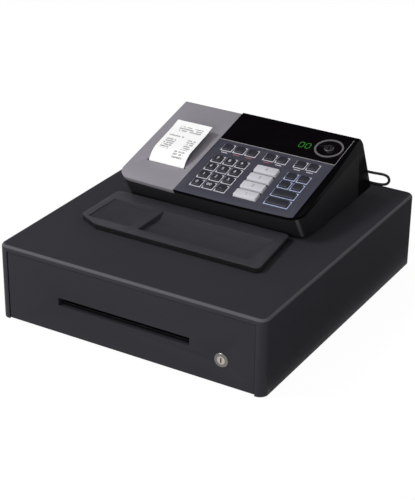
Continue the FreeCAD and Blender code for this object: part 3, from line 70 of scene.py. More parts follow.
# ---- shader maths ----------------------------------------------------------------------------------
class Value:
    """A number or colour inside a material, with the usual arithmetic."""

    def __init__(self, book: "Book", socket: bpy.types.NodeSocket) -> None:
        """Keeps the socket that carries the value.

        Args:
            book: the material's node maker.
            socket: the output that the value comes from.
        """
        self.book = book
        self.socket = socket

    def _math(self, operation: str, *others: Any) -> "Value":
        """A Math node on this value and others."""
        values = {index: item for index, item in enumerate(others)}
        return self.book.node("ShaderNodeMath", {"operation": operation}, values)

    def __add__(self, other: Any) -> "Value":
        """The sum."""
        return self._math("ADD", self, other)

    __radd__ = __add__

    def __sub__(self, other: Any) -> "Value":
        """The difference."""
        return self._math("SUBTRACT", self, other)

    def __rsub__(self, other: Any) -> "Value":
        """The difference, from a plain number."""
        return self._math("SUBTRACT", other, self)

    def __mul__(self, other: Any) -> "Value":
        """The product."""
        return self._math("MULTIPLY", self, other)

    __rmul__ = __mul__

    def __truediv__(self, other: Any) -> "Value":
        """The quotient."""
        return self._math("DIVIDE", self, other)

    def __gt__(self, other: Any) -> "Value":
        """One where this is greater, else zero."""
        return self._math("GREATER_THAN", self, other)

    def __lt__(self, other: Any) -> "Value":
        """One where this is less, else zero."""
        return self._math("LESS_THAN", self, other)

    def __or__(self, other: Any) -> "Value":
        """The greater of two masks."""
        return self._math("MAXIMUM", self, other)

    def ramp(self, low: float, high: float) -> "Value":
        """Zero up to one place, one from another, and smooth between them."""
        values = {0: self, 1: low, 2: high}
        return self.book.node("ShaderNodeMapRange", {"interpolation_type": "SMOOTHSTEP"}, values)

    def floor(self) -> "Value":
        """The whole part."""
        return self._math("FLOOR", self)

    def fraction(self) -> "Value":
        """The part after the point."""
        return self._math("FRACT", self)

    def size(self) -> "Value":
        """The value without its sign."""
        return self._math("ABSOLUTE", self)


class Book:
    """Makes the nodes of one material."""

    def __init__(self, name: str) -> None:
        """Starts an empty material.

        Args:
            name: the material's name.
        """
        self.material = bpy.data.materials.new(name)
        self.material.use_nodes = True
        self.tree = self.material.node_tree
        self.tree.nodes.clear()

    def node(self, kind: str, settings: dict[str, Any] | None = None,
             values: dict[Any, Any] | None = None, output: Any = 0) -> Value:
        """Adds a node.

        Args:
            kind: the node's type.
            settings: attributes, set first.
            values: numbers, colours or values for the inputs, by name or number.
            output: which output is returned.

        Returns:
            The value of the chosen output.
        """
        made = self.tree.nodes.new(kind)
        for key, item in (settings or {}).items():
            setattr(made, key, item)
        for key, item in (values or {}).items():
            if isinstance(item, Value):
                self.tree.links.new(item.socket, made.inputs[key])
            else:
                made.inputs[key].default_value = item
        return Value(self, made.outputs[output])

    def place(self, turn: float = 0.0, origin: Point = (0, 0, 0)) -> Value:
        """Object coordinates, centred on a point and turned about X.

        Args:
            turn: radians about X.
            origin: the point that becomes zero, in metres.

        Returns:
            The coordinates.
        """
        here = self.node("ShaderNodeTexCoord", output="Object")
        if not turn and origin == (0, 0, 0):
            return here
        return self.node("ShaderNodeMapping", {"vector_type": "TEXTURE"},
                         {"Vector": here, "Location": origin, "Rotation": (turn, 0, 0)})

    def axes(self, where: Value) -> tuple[Value, Value, Value]:
        """The three parts of a place.

        Args:
            where: coordinates.

        Returns:
            Across, along and up.
        """
        node = self.node("ShaderNodeSeparateXYZ", None, {0: where}).socket.node
        return Value(self, node.outputs[0]), Value(self, node.outputs[1]), Value(self, node.outputs[2])

    def noise(self, where: Value, scale: float, detail: float = 2.0, rough: float = 0.5) -> Value:
        """Soft noise from 0 to 1.

        Args:
            where: coordinates.
            scale: bumps per metre.
            detail: layers of finer noise.
            rough: strength of the finer layers.

        Returns:
            The noise.
        """
        return self.node("ShaderNodeTexNoise", None,
                         {"Vector": where, "Scale": scale, "Detail": detail, "Roughness": rough})

    def mix(self, factor: Any, low: Any, high: Any) -> Value:
        """A colour between two others.

        Args:
            factor: 0 for the first, 1 for the second.
            low: colour or value.
            high: colour or value.

        Returns:
            The mixed colour.
        """
        return self.node("ShaderNodeMix", {"data_type": "RGBA"}, {0: factor, 6: low, 7: high}, 2)

    def bump(self, height: Value, depth: float) -> Value:
        """A normal from a height.

        Args:
            height: from 0 to 1.
            depth: metres between them.

        Returns:
            The normal.
        """
        return self.node("ShaderNodeBump", None, {"Height": height, "Distance": depth})

    def close(self, values: dict[str, Any]) -> bpy.types.Material:
        """Ends the material in a Principled shader.

        Args:
            values: the shader's inputs.

        Returns:
            The material.
        """
        shader = self.node("ShaderNodeBsdfPrincipled", None, values)
        self.node_output(shader)
        return self.material

    def node_output(self, shader: Value) -> None:
        """Links a shader to the surface."""
        out = self.tree.nodes.new("ShaderNodeOutputMaterial")
        self.tree.links.new(shader.socket, out.inputs["Surface"])


def shade(red: int, green: int, blue: int) -> Colour:
    """A display colour from 0 to 255 as the linear colour that shaders use."""
    def linear(part: int) -> float:
        """One channel."""
        level = part / 255
        return level / 12.92 if level <= 0.04045 else ((level + 0.055) / 1.055) ** 2.4
    return (linear(red), linear(green), linear(blue), 1.0)


# ---- finishes --------------------------------------------------------------------------------------
@dataclass(frozen=True)
class Moulded:
    """Moulded plastic with a fine grain."""

    name: str
    colour: Colour
    roughness: float = 0.45
    grain: float = 1400.0
    depth: float = 0.00006
    mottle: float = 0.06
    specular: float = 0.3

    def make(self) -> bpy.types.Material:
        """Builds the material."""
        book = Book(self.name)
        here = book.place()
        cloud = book.noise(here, 14.0, 3.0)
        fine = book.noise(here, self.grain, 2.0, 0.6)
        darker = tuple(part * (1 - self.mottle) for part in self.colour[:3]) + (1.0,)
        lighter = tuple(min(1.0, part * (1 + self.mottle)) for part in self.colour[:3]) + (1.0,)
        uneven = book.noise(here, 60.0) * 0.08 + fine * 0.06 + (self.roughness - 0.07)
        colour, rough = self.zones(book, book.mix(cloud, darker, lighter), uneven)
        return book.close({
            "Base Color": colour,
            "Roughness": rough,
            "Specular IOR Level": self.specular,
            "Normal": book.bump(fine, self.depth),
        })

    def zones(self, book: Book, colour: Value, rough: Value) -> tuple[Value, Value]:
        """Changes the colour and roughness in parts of the piece; a plain piece has none.

        Args:
            book: the material's node maker.
            colour: the plain colour.
            rough: the plain roughness.

        Returns:
            Colour and roughness with the zones.
        """
        return colour, rough


@dataclass(frozen=True)
class EdgedTray(Moulded):
    """The tray's plastic, with painted shade, near black, on the outer walls of its front and sides."""

    # Where the painted shade lies on the outer walls below the top, and its colour
    front: float = -120.0 * MM
    left_corner: float = -239.0 * MM
    right: float = 137.0 * MM
    right_lean: float = 0.119
    top: float = 121.4 * MM
    width: float = 2.5 * MM
    depth: float = 2.5 * MM  # of the grain: far deeper than on the other plastics, which dulls the tray
    edge: Colour = (0.01, 0.01, 0.01, 1.0)

    def zones(self, book: Book, colour: Value, rough: Value) -> tuple[Value, Value]:
        """Paints shade on the outer walls."""
        # Painted shade: the outer walls of the front, the cut left corner and the right side go near black below the
        # top
        across, along, height = book.axes(book.place())
        shade_mask = (along < self.front + self.width) | (across + along < self.left_corner + self.width * 1.41)
        shade_mask = shade_mask | (across + (along - self.front) * self.right_lean > self.right - self.width)
        below = 1 - height.ramp(self.top - 0.4 * MM, self.top)
        return book.mix(shade_mask * below, colour, self.edge), rough


@dataclass(frozen=True)
class ShoulderedCase(Moulded):
    """The housing's plastic: grained sides, a gloss shoulder along the right top edge and the back, and a painted
    highlight streak down the front right corner.
    """

    slope: "Slope" = None
    gloss: Colour = (0.003, 0.003, 0.003, 1.0)
    length: float = 202.9 * MM
    front_drop: float = 4.0 * MM
    rear_drop: float = 15.0 * MM
    rear_width: float = 15.0 * MM
    back_lean: float = 24.0
    fade: float = 0.3 * MM
    # The painted highlight streak: its place across, its width and strength, the front's lean, and where it fades
    # back and down
    corner: float = 136.5 * MM
    corner_width: float = 3.0 * MM
    corner_rub: float = 0.7
    front_lean: float = 0.61
    streak_end: tuple[float, float] = (9.0 * MM, 12.0 * MM)
    streak_top: tuple[float, float] = (149.0 * MM, 151.0 * MM)

    def zones(self, book: Book, colour: Value, rough: Value) -> tuple[Value, Value]:
        """Adds the gloss shoulder and the painted highlight streak on the front right corner."""
        origin = (0, self.slope.front_y, self.slope.front_z)
        _, along, height = book.axes(book.place(self.slope.angle, origin))
        down = height * -1.0
        limit = along * ((self.rear_drop - self.front_drop) / self.length) + self.front_drop
        top = (limit - down).ramp(-self.fade, self.fade)
        tail = math.tan(math.radians(self.back_lean) - self.slope.angle)
        rear = (along - down * tail * -1.0 - (self.length - self.rear_width)).ramp(-self.fade, self.fade)
        mask = top | rear
        across, back, up = book.axes(book.place())
        behind = back - self.slope.front_y - (self.slope.front_z - up) * self.front_lean
        # Painted highlight: a paler grey streak down the front right corner, fading backwards and downwards
        glint = 1 - (across - self.corner).size().ramp(0.3 * self.corner_width, self.corner_width)
        glint = glint * (1 - behind.ramp(*self.streak_end)) * (1 - up.ramp(*self.streak_top))
        glinted = book.mix(glint * self.corner_rub, colour, shade(92, 91, 95))
        return book.mix(mask, glinted, self.gloss), rough * (1 - mask * 0.6)


@dataclass(frozen=True)
class PaintedSteel:
    """Sheet steel under a textured powder paint, with a painted highlight along the top's round edges when fold is
    set.
    """

    name: str
    colour: Colour
    roughness: float = 0.4
    specular: float = 0.03
    # fold is the radius of the top's round edges; when set, a painted highlight is laid along them
    fold: float = 0.0
    half_width: float = 205.0 * MM
    half_depth: float = 225.0 * MM
    top: float = 114.0 * MM
    corner: float = 12.0 * MM
    rub: float = 0.42

    def make(self) -> bpy.types.Material:
        """Builds the material."""
        book = Book(self.name)
        here = book.place()
        cloud = book.noise(here, 9.0, 4.0)
        pebble = book.noise(here, 700.0, 1.0, 0.4)
        fleck = book.noise(here, 2600.0, 0.0) > 0.72
        dark = tuple(part * 0.93 for part in self.colour[:3]) + (1.0,)
        pale = tuple(part * 1.09 for part in self.colour[:3]) + (1.0,)
        bright = tuple(part * 1.5 for part in self.colour[:3]) + (1.0,)
        base = book.mix(cloud, dark, pale)
        if self.fold:
            # Painted highlight: a paler grey along the middle of the top's round edges, where the lamps would glint
            base = book.mix(self._folds(book, here) * self.rub, base, shade(112, 112, 116))
        return book.close({
            "Base Color": book.mix(fleck * 0.35, base, bright),
            "Roughness": pebble * 0.12 + (self.roughness - 0.06),
            "Specular IOR Level": self.specular,
            "Normal": book.bump(pebble, 0.00006),
        })

    def _folds(self, book: Book, here: Value) -> Value:
        """The mask of the painted highlight along the top's round edges.

        Args:
            book: the material's node maker.
            here: coordinates.

        Returns:
            One along the middle of the rounds.
        """
        across, along, height = book.axes(here)
        crest = self.fold * (2 - math.sqrt(2))
        beside = across.size() - (self.half_width - self.corner)
        before = along.size() - (self.half_depth - self.corner)
        past = book.node("ShaderNodeCombineXYZ", None, {0: beside | 0.0, 1: before | 0.0})
        round_corner = book.node("ShaderNodeVectorMath", {"operation": "LENGTH"}, {0: past}, output="Value")
        outline = round_corner - self.corner
        crossing = outline + height - (self.top - crest)
        start = -0.2 * self.fold
        return crossing.ramp(start, 0.4 * start)


@dataclass(frozen=True)
class Metal:
    """Plated or bare metal with fine brush marks."""

    name: str
    colour: Colour
    roughness: float = 0.3
    brush: Point = (60.0, 60.0, 900.0)

    def make(self) -> bpy.types.Material:
        """Builds the material."""
        book = Book(self.name)
        here = book.place()
        stretched = book.node("ShaderNodeMapping", None, {"Vector": here, "Scale": self.brush})
        marks = book.noise(stretched, 1.0, 3.0)
        stain = book.noise(here, 30.0, 3.0)
        dull = tuple(part * 0.8 for part in self.colour[:3]) + (1.0,)
        return book.close({
            "Base Color": book.mix(stain, dull, self.colour),
            "Metallic": 1.0,
            "Roughness": marks * 0.15 + (self.roughness - 0.07),
            "Normal": book.bump(marks, 0.00002),
        })


@dataclass(frozen=True)
class Rubber:
    """Matt rubber or cable jacket."""

    name: str
    colour: Colour
    roughness: float = 0.62

    def make(self) -> bpy.types.Material:
        """Builds the material."""
        book = Book(self.name)
        here = book.place()
        fine = book.noise(here, 1800.0, 2.0)
        dust = book.noise(here, 90.0, 4.0)
        pale = tuple(part + 0.012 for part in self.colour[:3]) + (1.0,)
        return book.close({
            "Base Color": book.mix(dust, self.colour, pale),
            "Roughness": dust * 0.1 + (self.roughness - 0.05),
            "Specular IOR Level": 0.25,
            "Normal": book.bump(fine, 0.00004),
        })


@dataclass(frozen=True)
class SmokedWindow:
    """Gloss black panel in front of the display."""

    name: str
    colour: Colour

    def make(self) -> bpy.types.Material:
        """Builds the material."""
        book = Book(self.name)
        here = book.place()
        cloud = book.noise(here, 25.0, 2.0)
        brown = tuple(part * 1.6 for part in self.colour[:3]) + (1.0,)
        return book.close({
            "Base Color": book.mix(cloud, self.colour, brown),
            "Roughness": cloud * 0.04 + 0.1,
            "Specular IOR Level": 0.2,
        })


@dataclass(frozen=True)
class Lit:
    """A lit segment of the display."""

    name: str
    colour: Colour
    glow: float

    def make(self) -> bpy.types.Material:
        """Builds the material."""
        book = Book(self.name)
        here = book.place()
        hot = book.noise(here, 500.0, 1.0)
        dim = tuple(part * 0.6 for part in self.colour[:3]) + (1.0,)
        return book.close({
            "Base Color": dim,
            "Roughness": 0.4,
            "Emission Color": book.mix(hot, dim, self.colour),
            "Emission Strength": self.glow,
        })


@dataclass(frozen=True)
class Printed:
    """A block of print on the receipt: its middle, half width, and start and end along the paper."""

    middle: float
    half: float
    start: float
    end: float

    def mask(self, across: Value, along: Value) -> Value:
        """One inside the block.

        Args:
            across: metres from the paper's middle.
            along: metres up the slope.

        Returns:
            The mask.
        """
        return ((across - self.middle).size() < self.half) * (along > self.start) * (along < self.end)


@dataclass(frozen=True)
class ReceiptPaper:
    """Thermal paper with blocks of plain grey marks, which stand for print."""

    name: str
    slope: "Slope"
    row: float = 4.6 * MM
    letter: float = 2.2 * MM
    centre: float = -94.0 * MM
    inked_row: float = 0.6
    inked_letter: float = 0.8
    blanks: float = 0.16
    ink: float = 0.9
    blocks: tuple[Printed, ...] = (
        Printed(2.0 * MM, 19.0 * MM, 113.0 * MM, 126.0 * MM), Printed(-11.0 * MM, 12.0 * MM, 100.5 * MM, 105.0 * MM),
        Printed(-15.0 * MM, 8.0 * MM, 71.0 * MM, 96.5 * MM), Printed(17.0 * MM, 6.5 * MM, 75.0 * MM, 101.0 * MM),
        Printed(12.0 * MM, 8.5 * MM, 58.0 * MM, 72.0 * MM),
    )

    def make(self) -> bpy.types.Material:
        """Builds the material."""
        book = Book(self.name)
        here = book.place(self.slope.angle, (self.centre, self.slope.front_y, self.slope.front_z))
        fibre = book.noise(here, 900.0, 3.0)
        cloud = book.noise(here, 40.0, 2.0)
        colour = book.mix(cloud, shade(238, 238, 239), shade(247, 246, 245))
        if self.blocks:
            colour = book.mix(self._print(book, here) * self.ink, colour, shade(112, 112, 114))
        return book.close({
            "Base Color": colour,
            "Roughness": fibre * 0.1 + 0.6,
            "Specular IOR Level": 0.2,
            "Normal": book.bump(fibre, 0.00003),
        })

    def _print(self, book: Book, here: Value) -> Value:
        """The mask of the printed rows."""
        across, along, _ = book.axes(here)
        place = book.node("ShaderNodeCombineXYZ", None,
                          {0: (across / self.letter).floor(), 1: (along / self.row).floor()})
        letter = book.node("ShaderNodeTexWhiteNoise", {"noise_dimensions": "2D"}, {"Vector": place})
        in_row = (along / self.row).fraction() < self.inked_row
        in_cell = (across / self.letter).fraction() < self.inked_letter
        stroke = book.noise(here, 420.0, 1.0).ramp(0.22, 0.46)
        inside = self.blocks[0].mask(across, along)
        for block in self.blocks[1:]:
            inside = inside | block.mask(across, along)
        return (letter > self.blanks) * in_row * in_cell * inside * stroke


# ---- modelling helpers -----------------------------------------------------------------------------
@dataclass(frozen=True)
class Slope:
    """The plane of the register's top: x across, s up the slope, h above it."""

    angle: float = math.radians(14.18)
    front_y: float = -26.7 * MM
    front_z: float = 152.55 * MM

    @property
    def matrix(self) -> Matrix:
        """Takes (x, s, h) to the object's frame."""
        return Matrix.Translation((0, self.front_y, self.front_z)) @ Matrix.Rotation(self.angle, 4, "X")

    def span(self, node: str) -> tuple[Vector, Vector]:
        """The lowest and highest (x, s, h) of a CAD node.

        Args:
            node: the node's name.

        Returns:
            Two corners in the plane's own frame.
        """
        back = self.matrix.inverted()
        points = [back @ vertex.co for vertex in frame["nodes"][node].data.vertices]
        low = Vector([min(point[axis] for point in points) for axis in range(3)])
        high = Vector([max(point[axis] for point in points) for axis in range(3)])
        return low, high


def deselect() -> None:
    """Leaves nothing selected, in object mode."""
    if bpy.context.object and bpy.context.object.mode != "OBJECT":
        bpy.ops.object.mode_set(mode="OBJECT")
    bpy.ops.object.select_all(action="DESELECT")


def pick(piece: bpy.types.Object) -> None:
    """Makes one piece selected and active."""
    deselect()
    piece.select_set(True)
    bpy.context.view_layer.objects.active = piece


def settle(piece: bpy.types.Object, matrix: Matrix | None = None) -> None:
    """Moves a piece and puts its place into its mesh.

    Args:
        piece: the piece.
        matrix: taken after its own place.
    """
    if matrix is not None:
        piece.matrix_world = matrix @ piece.matrix_world
    pick(piece)
    bpy.ops.object.transform_apply(location=True, rotation=True, scale=True)


def apply_all(piece: bpy.types.Object) -> None:
    """Applies a piece's modifiers in order."""
    pick(piece)
    for modifier in list(piece.modifiers):
        bpy.ops.object.modifier_apply(modifier=modifier.name)


def rounded(piece: bpy.types.Object, width: float, segments: int = 3, angle: float = 35.0) -> None:
    """Rounds a piece's sharp edges.

    Args:
        piece: the piece.
        width: metres.
        segments: faces across the round.
        angle: degrees, edges sharper than this are rounded.
    """
    modifier = piece.modifiers.new("round", "BEVEL")
    modifier.width = width
    modifier.segments = segments
    modifier.limit_method = "ANGLE"
    modifier.angle_limit = math.radians(angle)
    modifier.harden_normals = False
    apply_all(piece)


def smooth(piece: bpy.types.Object, angle: float = 35.0) -> None:
    """Shades a piece smooth, apart from its sharp edges."""
    pick(piece)
    bpy.ops.object.shade_smooth_by_angle(angle=math.radians(angle))


def finish_piece(piece: bpy.types.Object, name: str, body: str, material: bpy.types.Material) -> bpy.types.Object:
    """Names and dresses a piece, and puts it on its body.

    Args:
        piece: the piece.
        name: its name.
        body: the CAD body that carries it.
        material: its finish.

    Returns:
        The piece.
    """
    piece.name = name
    piece.data.name = name
    piece.data.materials.clear()
    piece.data.materials.append(material)
    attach(piece, body)
    return piece


def body_of(node: str) -> str:
    """The body that a CAD node rides on."""
    return frame["nodes"][node]["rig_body"]


def softened(node: str, width: float, material: bpy.types.Material,
             segments: int = 2, angle: float = 35.0) -> bpy.types.Object:
    """A copy of a CAD node with rounded edges, which stands for it.

    Args:
        node: the node's name.
        width: of the round, in metres.
        material: its finish.
        segments: faces across the round.
        angle: degrees, edges sharper than this are rounded.

    Returns:
        The piece.
    """
    piece = bpy.data.objects.new(node + "_soft", frame["nodes"][node].data.copy())
    bpy.context.scene.collection.objects.link(piece)
    pick(piece)
    if piece.data.has_custom_normals:
        bpy.ops.mesh.customdata_custom_splitnormals_clear()
    bpy.ops.object.mode_set(mode="EDIT")
    bpy.ops.mesh.select_all(action="SELECT")
    bpy.ops.mesh.remove_doubles(threshold=0.002 * MM)
    bpy.ops.mesh.dissolve_limited(angle_limit=math.radians(0.5))
    bpy.ops.object.mode_set(mode="OBJECT")
    rounded(piece, width, segments, angle)
    smooth(piece, angle)
    finish_piece(piece, node + "_soft", body_of(node), material)
    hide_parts(node)
    return piece


def dress(node: str, material: bpy.types.Material) -> None:
    """Gives a CAD node its finish."""
    piece = frame["nodes"][node]
    if not piece.material_slots:
        piece.data.materials.append(material)
    for slot in piece.material_slots:
        slot.material = material


def add_box(name: str, low: Sequence[float], high: Sequence[float]) -> bpy.types.Object:
    """Adds a box between two corners, not yet settled.

    Args:
        name: its name.
        low: lowest corner.
        high: highest corner.

    Returns:
        The piece.
    """
    deselect()
    centre = [(a + b) / 2 for a, b in zip(low, high)]
    bpy.ops.mesh.primitive_cube_add(size=1, location=centre, scale=[b - a for a, b in zip(low, high)])
    piece = bpy.context.active_object
    piece.name = name
    bpy.ops.object.transform_apply(location=False, rotation=False, scale=True)
    return piece


# ---- studio ----------------------------------------------------------------------------------------
@dataclass
class Studio:
    """Floor, lights, background and camera."""

    azimuth: float = 30.39
    elevation: float = 26.57
    roll: float = 0.66
    place: Point = (965.1 * MM, -1664.0 * MM, 1024.4 * MM)
    lens: float = 109.8
    floor_size: float = 12.0
    floor_white: float = 0.9
    floor_glow: float = 1.07
    lamps: tuple[tuple[str, Point, float, float], ...] = (
        ("key_lamp", (-1.35, -1.35, 2.3), 0.7, 46.0),
        ("front_lamp", (0.1, -3.1, 0.7), 1.8, 46.0),
        ("rim_lamp", (1.35, 2.3, 1.4), 0.7, 2.5),
    )
    sky: float = 0.4
    flag_place: Point = (-1.5, 2.6, 2.4)
    flag_size: float = 4.2
    side_flag_place: Point = (0.708, 0.3, 0.001)
    side_flag_size: float = 1.0
    side_flag_grey: float = 0.22

    def build(self) -> None:
        """Makes everything round the object."""
        self._camera()
        self._floor()
        self._world()
        self._flag("studio_flag", self.flag_place, self.flag_size)
        self._flag("studio_side_flag", self.side_flag_place, self.side_flag_size, self.side_flag_grey, False)
        for name, place, size, power in self.lamps:
            self._lamp(name, place, size, power)
        bpy.context.scene.view_settings.view_transform = "Standard"

    def _camera(self) -> None:
        """A long lens from the front right."""
        data = bpy.data.cameras.new("camera")
        camera = bpy.data.objects.new("camera", data)
        bpy.context.scene.collection.objects.link(camera)
        turn = Matrix.Rotation(math.radians(self.azimuth), 4, "Z")
        tilt = Matrix.Rotation(math.radians(90 - self.elevation), 4, "X")
        roll = Matrix.Rotation(math.radians(self.roll), 4, "Z")
        camera.matrix_world = Matrix.Translation(self.place) @ turn @ tilt @ roll
        data.sensor_width = 36.0
        data.lens = self.lens
        data.clip_start, data.clip_end = 0.05, 60.0
        bpy.context.scene.camera = camera

    def _floor(self) -> None:
        """A pale floor that shows white and keeps the shadow."""
        deselect()
        bpy.ops.mesh.primitive_plane_add(size=self.floor_size, location=(0, 0, 0))
        floor = bpy.context.active_object
        floor.name = "studio_floor"
        book = Book("studio_floor")
        here = book.place()
        cloud = book.noise(here, 3.0)
        matt = book.node("ShaderNodeBsdfDiffuse", None,
                         {"Color": book.mix(cloud, shade(192, 192, 194), shade(200, 200, 201))})
        white = book.node("ShaderNodeEmission", None, {"Color": (1, 1, 1, 1), "Strength": self.floor_glow})
        camera = book.node("ShaderNodeLightPath", output="Is Camera Ray")
        mirror = book.node("ShaderNodeLightPath", output="Is Glossy Ray")
        through = book.node("ShaderNodeLightPath", output="Is Transmission Ray")
        seen = camera | (mirror | through)
        book.node_output(book.node("ShaderNodeMixShader", None, {0: seen * self.floor_white, 1: matt, 2: white}))
        floor.data.materials.append(book.material)

    @staticmethod
    def _flag(name: str, place: Point, size: float, level: float = 0.0, aimed: bool = True) -> None:
        """A dark card that only reflections show, so that dark paint and gloss black stay dark.

        Args:
            name: its name.
            place: metres.
            size: side, metres.
            level: its grey, where 0 is black.
            aimed: faces the object, where a card that isn't aimed lies flat.
        """
        deselect()
        bpy.ops.mesh.primitive_plane_add(size=size)
        flag = bpy.context.active_object
        flag.name = name
        aim = Vector((0, 0, 0.1)) - Vector(place)
        turn = aim.to_track_quat("-Z", "Y").to_matrix().to_4x4() if aimed else Matrix.Identity(4)
        flag.matrix_world = Matrix.Translation(place) @ turn
        book = Book(name)
        book.node_output(book.node("ShaderNodeBsdfDiffuse", None, {"Color": (level, level, level, 1.0)}))
        flag.data.materials.append(book.material)
        flag.visible_camera = False
        flag.visible_diffuse = False
        flag.visible_shadow = False

    def _world(self) -> None:
        """Even white light, and white behind the object."""
        world = bpy.data.worlds.new("studio")
        bpy.context.scene.world = world
        world.use_nodes = True
        tree = world.node_tree
        tree.nodes.clear()
        path = tree.nodes.new("ShaderNodeLightPath")
        seen = tree.nodes.new("ShaderNodeMath")
        seen.operation = "MAXIMUM"
        tree.links.new(path.outputs["Is Camera Ray"], seen.inputs[0])
        tree.links.new(path.outputs["Is Glossy Ray"], seen.inputs[1])
        through = tree.nodes.new("ShaderNodeMath")
        through.operation = "MAXIMUM"
        tree.links.new(seen.outputs[0], through.inputs[0])
        tree.links.new(path.outputs["Is Transmission Ray"], through.inputs[1])
        level = tree.nodes.new("ShaderNodeMapRange")
        level.inputs["To Min"].default_value = self.sky
        level.inputs["To Max"].default_value = 1.0
        tree.links.new(through.outputs[0], level.inputs["Value"])
        back = tree.nodes.new("ShaderNodeBackground")
        back.inputs["Color"].default_value = (1, 1, 1, 1)
        tree.links.new(level.outputs[0], back.inputs["Strength"])
        out = tree.nodes.new("ShaderNodeOutputWorld")
        tree.links.new(back.outputs[0], out.inputs["Surface"])

    @staticmethod
    def _lamp(name: str, place: Point, size: float, power: float) -> None:
        """A soft square lamp that points at the object.

        Args:
            name: its name.
            place: metres.
            size: side, metres.
            power: watts.
        """
        data = bpy.data.lights.new(name, "AREA")
        data.size = size
        data.energy = power
        lamp = bpy.data.objects.new(name, data)
        bpy.context.scene.collection.objects.link(lamp)
        aim = Vector((0, 0, 0.08)) - Vector(place)
        lamp.matrix_world = Matrix.Translation(place) @ aim.to_track_quat("-Z", "Y").to_matrix().to_4x4()


# ---- drawer cable ----------------------------------------------------------------------------------
@dataclass
class Cable:
    """The short cable between the register and the cabinet, which lies in a loop behind the register."""

    radius: float = 2.0 * MM
    length: float = 147.7 * MM
    route: tuple[Point, ...] = (
        (112.0, 206.0, 133.0), (112.0, 213.4, 133.0), (117.2, 218.6, 133.0), (138.0, 219.6, 131.8),
        (162.4, 217.4, 134.8), (167.9, 216.4, 127.0), (162.4, 215.4, 119.2), (141.0, 214.2, 118.0),
        (127.0, 213.4, 120.4), (114.5, 213.0, 127.0), (105.7, 213.0, 127.0), (100.3, 213.0, 121.8),
        (100.3, 213.0, 115.5),
    )

    def build(self, jacket: bpy.types.Material) -> bpy.types.Object:
        """Lays the cable along its route.

        Args:
            jacket: its finish.

        Returns:
            The cable.
        """
        curve = bpy.data.curves.new("drawer_lead", "CURVE")
        curve.dimensions = "3D"
        curve.resolution_u = 12
        curve.bevel_depth = self.radius
        curve.bevel_resolution = 4
        curve.use_fill_caps = True
        spline = curve.splines.new("NURBS")
        spline.points.add(len(self.route) - 1)
        for point, place in zip(spline.points, self.route):
            point.co = (place[0] * MM, place[1] * MM, place[2] * MM, 1.0)
        spline.order_u = 3
        spline.use_endpoint_u = True
        piece = bpy.data.objects.new("drawer_lead", curve)
        bpy.context.scene.collection.objects.link(piece)
        curve.materials.append(jacket)
        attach(piece, "housing")
        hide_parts("drawer_cable")
        return piece


# ---- cabinet and drawer ----------------------------------------------------------------------------
@dataclass
class Cabinet:
    """Steel cabinet, its drawer and what the drawer holds."""

    edge: float = 0.5 * MM
    fold: float = 0.25 * MM
    plate_x: tuple[float, float] = (191.7 * MM, 203.1 * MM)
    plate_y: tuple[float, float] = (-223.1 * MM, -196.0 * MM)
    plate_z: tuple[float, float] = (3.05 * MM, 4.5 * MM)
    plate_corner: float = 10.2 * MM

    def build(self, finishes: "Finishes") -> None:
        """Dresses the cabinet's nodes.

        Args:
            finishes: every material.
        """
        softened("cabinet_shell", self.fold, finishes.paint)
        dress("cabinet_base", finishes.paint)
        for node in ("cabinet_rails", "drawer_runners", "latch_lever"):
            dress(node, finishes.zinc)
        dress("release_solenoid", finishes.coil)
        dress("cabinet_feet", finishes.rubber)
        dress("drawer_box", finishes.drawer_paint)
        dress("till_insert", finishes.till)
        for number in range(1, 5):
            dress("bill_clip_%d" % number, finishes.clip)
        softened("drawer_front", self.edge, finishes.front)
        dress("lock_barrel", finishes.plate)
        dress("lock_plug", finishes.brass)
        for side, name in ((-1, "left"), (1, "right")):
            self._corner_plate(side, name, finishes.paint)

    def _corner_plate(self, side: int, name: str, paint: bpy.types.Material) -> None:
        """Closes the foot of a corner post with its folded flange.

        Args:
            side: minus one on the left, one on the right.
            name: which side.
            paint: its finish.
        """
        across = sorted(side * edge for edge in self.plate_x)
        piece = add_box("plate", (across[0], self.plate_y[0], self.plate_z[0]),
                        (across[1], self.plate_y[1], self.plate_z[1]))
        bpy.ops.object.mode_set(mode="EDIT")
        bpy.ops.mesh.select_mode(type="EDGE")
        bpy.ops.mesh.select_all(action="DESELECT")
        bm = bmesh.from_edit_mesh(piece.data)
        for edge in bm.edges:
            first, second = (vertex.co for vertex in edge.verts)
            if abs(first.z - second.z) > 0.5 * (first - second).length and side * first.x > 0 and first.y < 0:
                edge.select_set(True)
        bmesh.update_edit_mesh(piece.data)
        bpy.ops.mesh.bevel(offset=self.plate_corner, segments=5, affect="EDGES")
        bpy.ops.mesh.select_mode(type="VERT")
        bpy.ops.object.mode_set(mode="OBJECT")
        rounded(piece, 0.3 * MM, 2)
        settle(piece)
        finish_piece(piece, "corner_plate_" + name, body_of("cabinet_shell"), paint)


# ---- register housing ------------------------------------------------------------------------------
@dataclass
class Housing:
    """The register's housing with its tray, cover and printer."""

    edge: float = 1.5 * MM
    cover_edge: float = 1.0 * MM
    tray_edge: float = 1.2 * MM

    def build(self, finishes: "Finishes") -> None:
        """Dresses the housing's nodes.

        Args:
            finishes: every material.
        """
        softened("register_case", self.edge, finishes.case)
        softened("printer_cover", self.cover_edge, finishes.cover)
        softened("clerk_tray", self.tray_edge, finishes.tray)
        dress("register_base", finishes.inner)
        dress("printer_frame", finishes.inner)
        dress("platen_roller", finishes.rubber)
        dress("paper_roll", finishes.plain_paper)
        dress("receipt_strip", finishes.receipt)
        dress("circuit_board", finishes.board)
        dress("cable_glands", finishes.rubber)


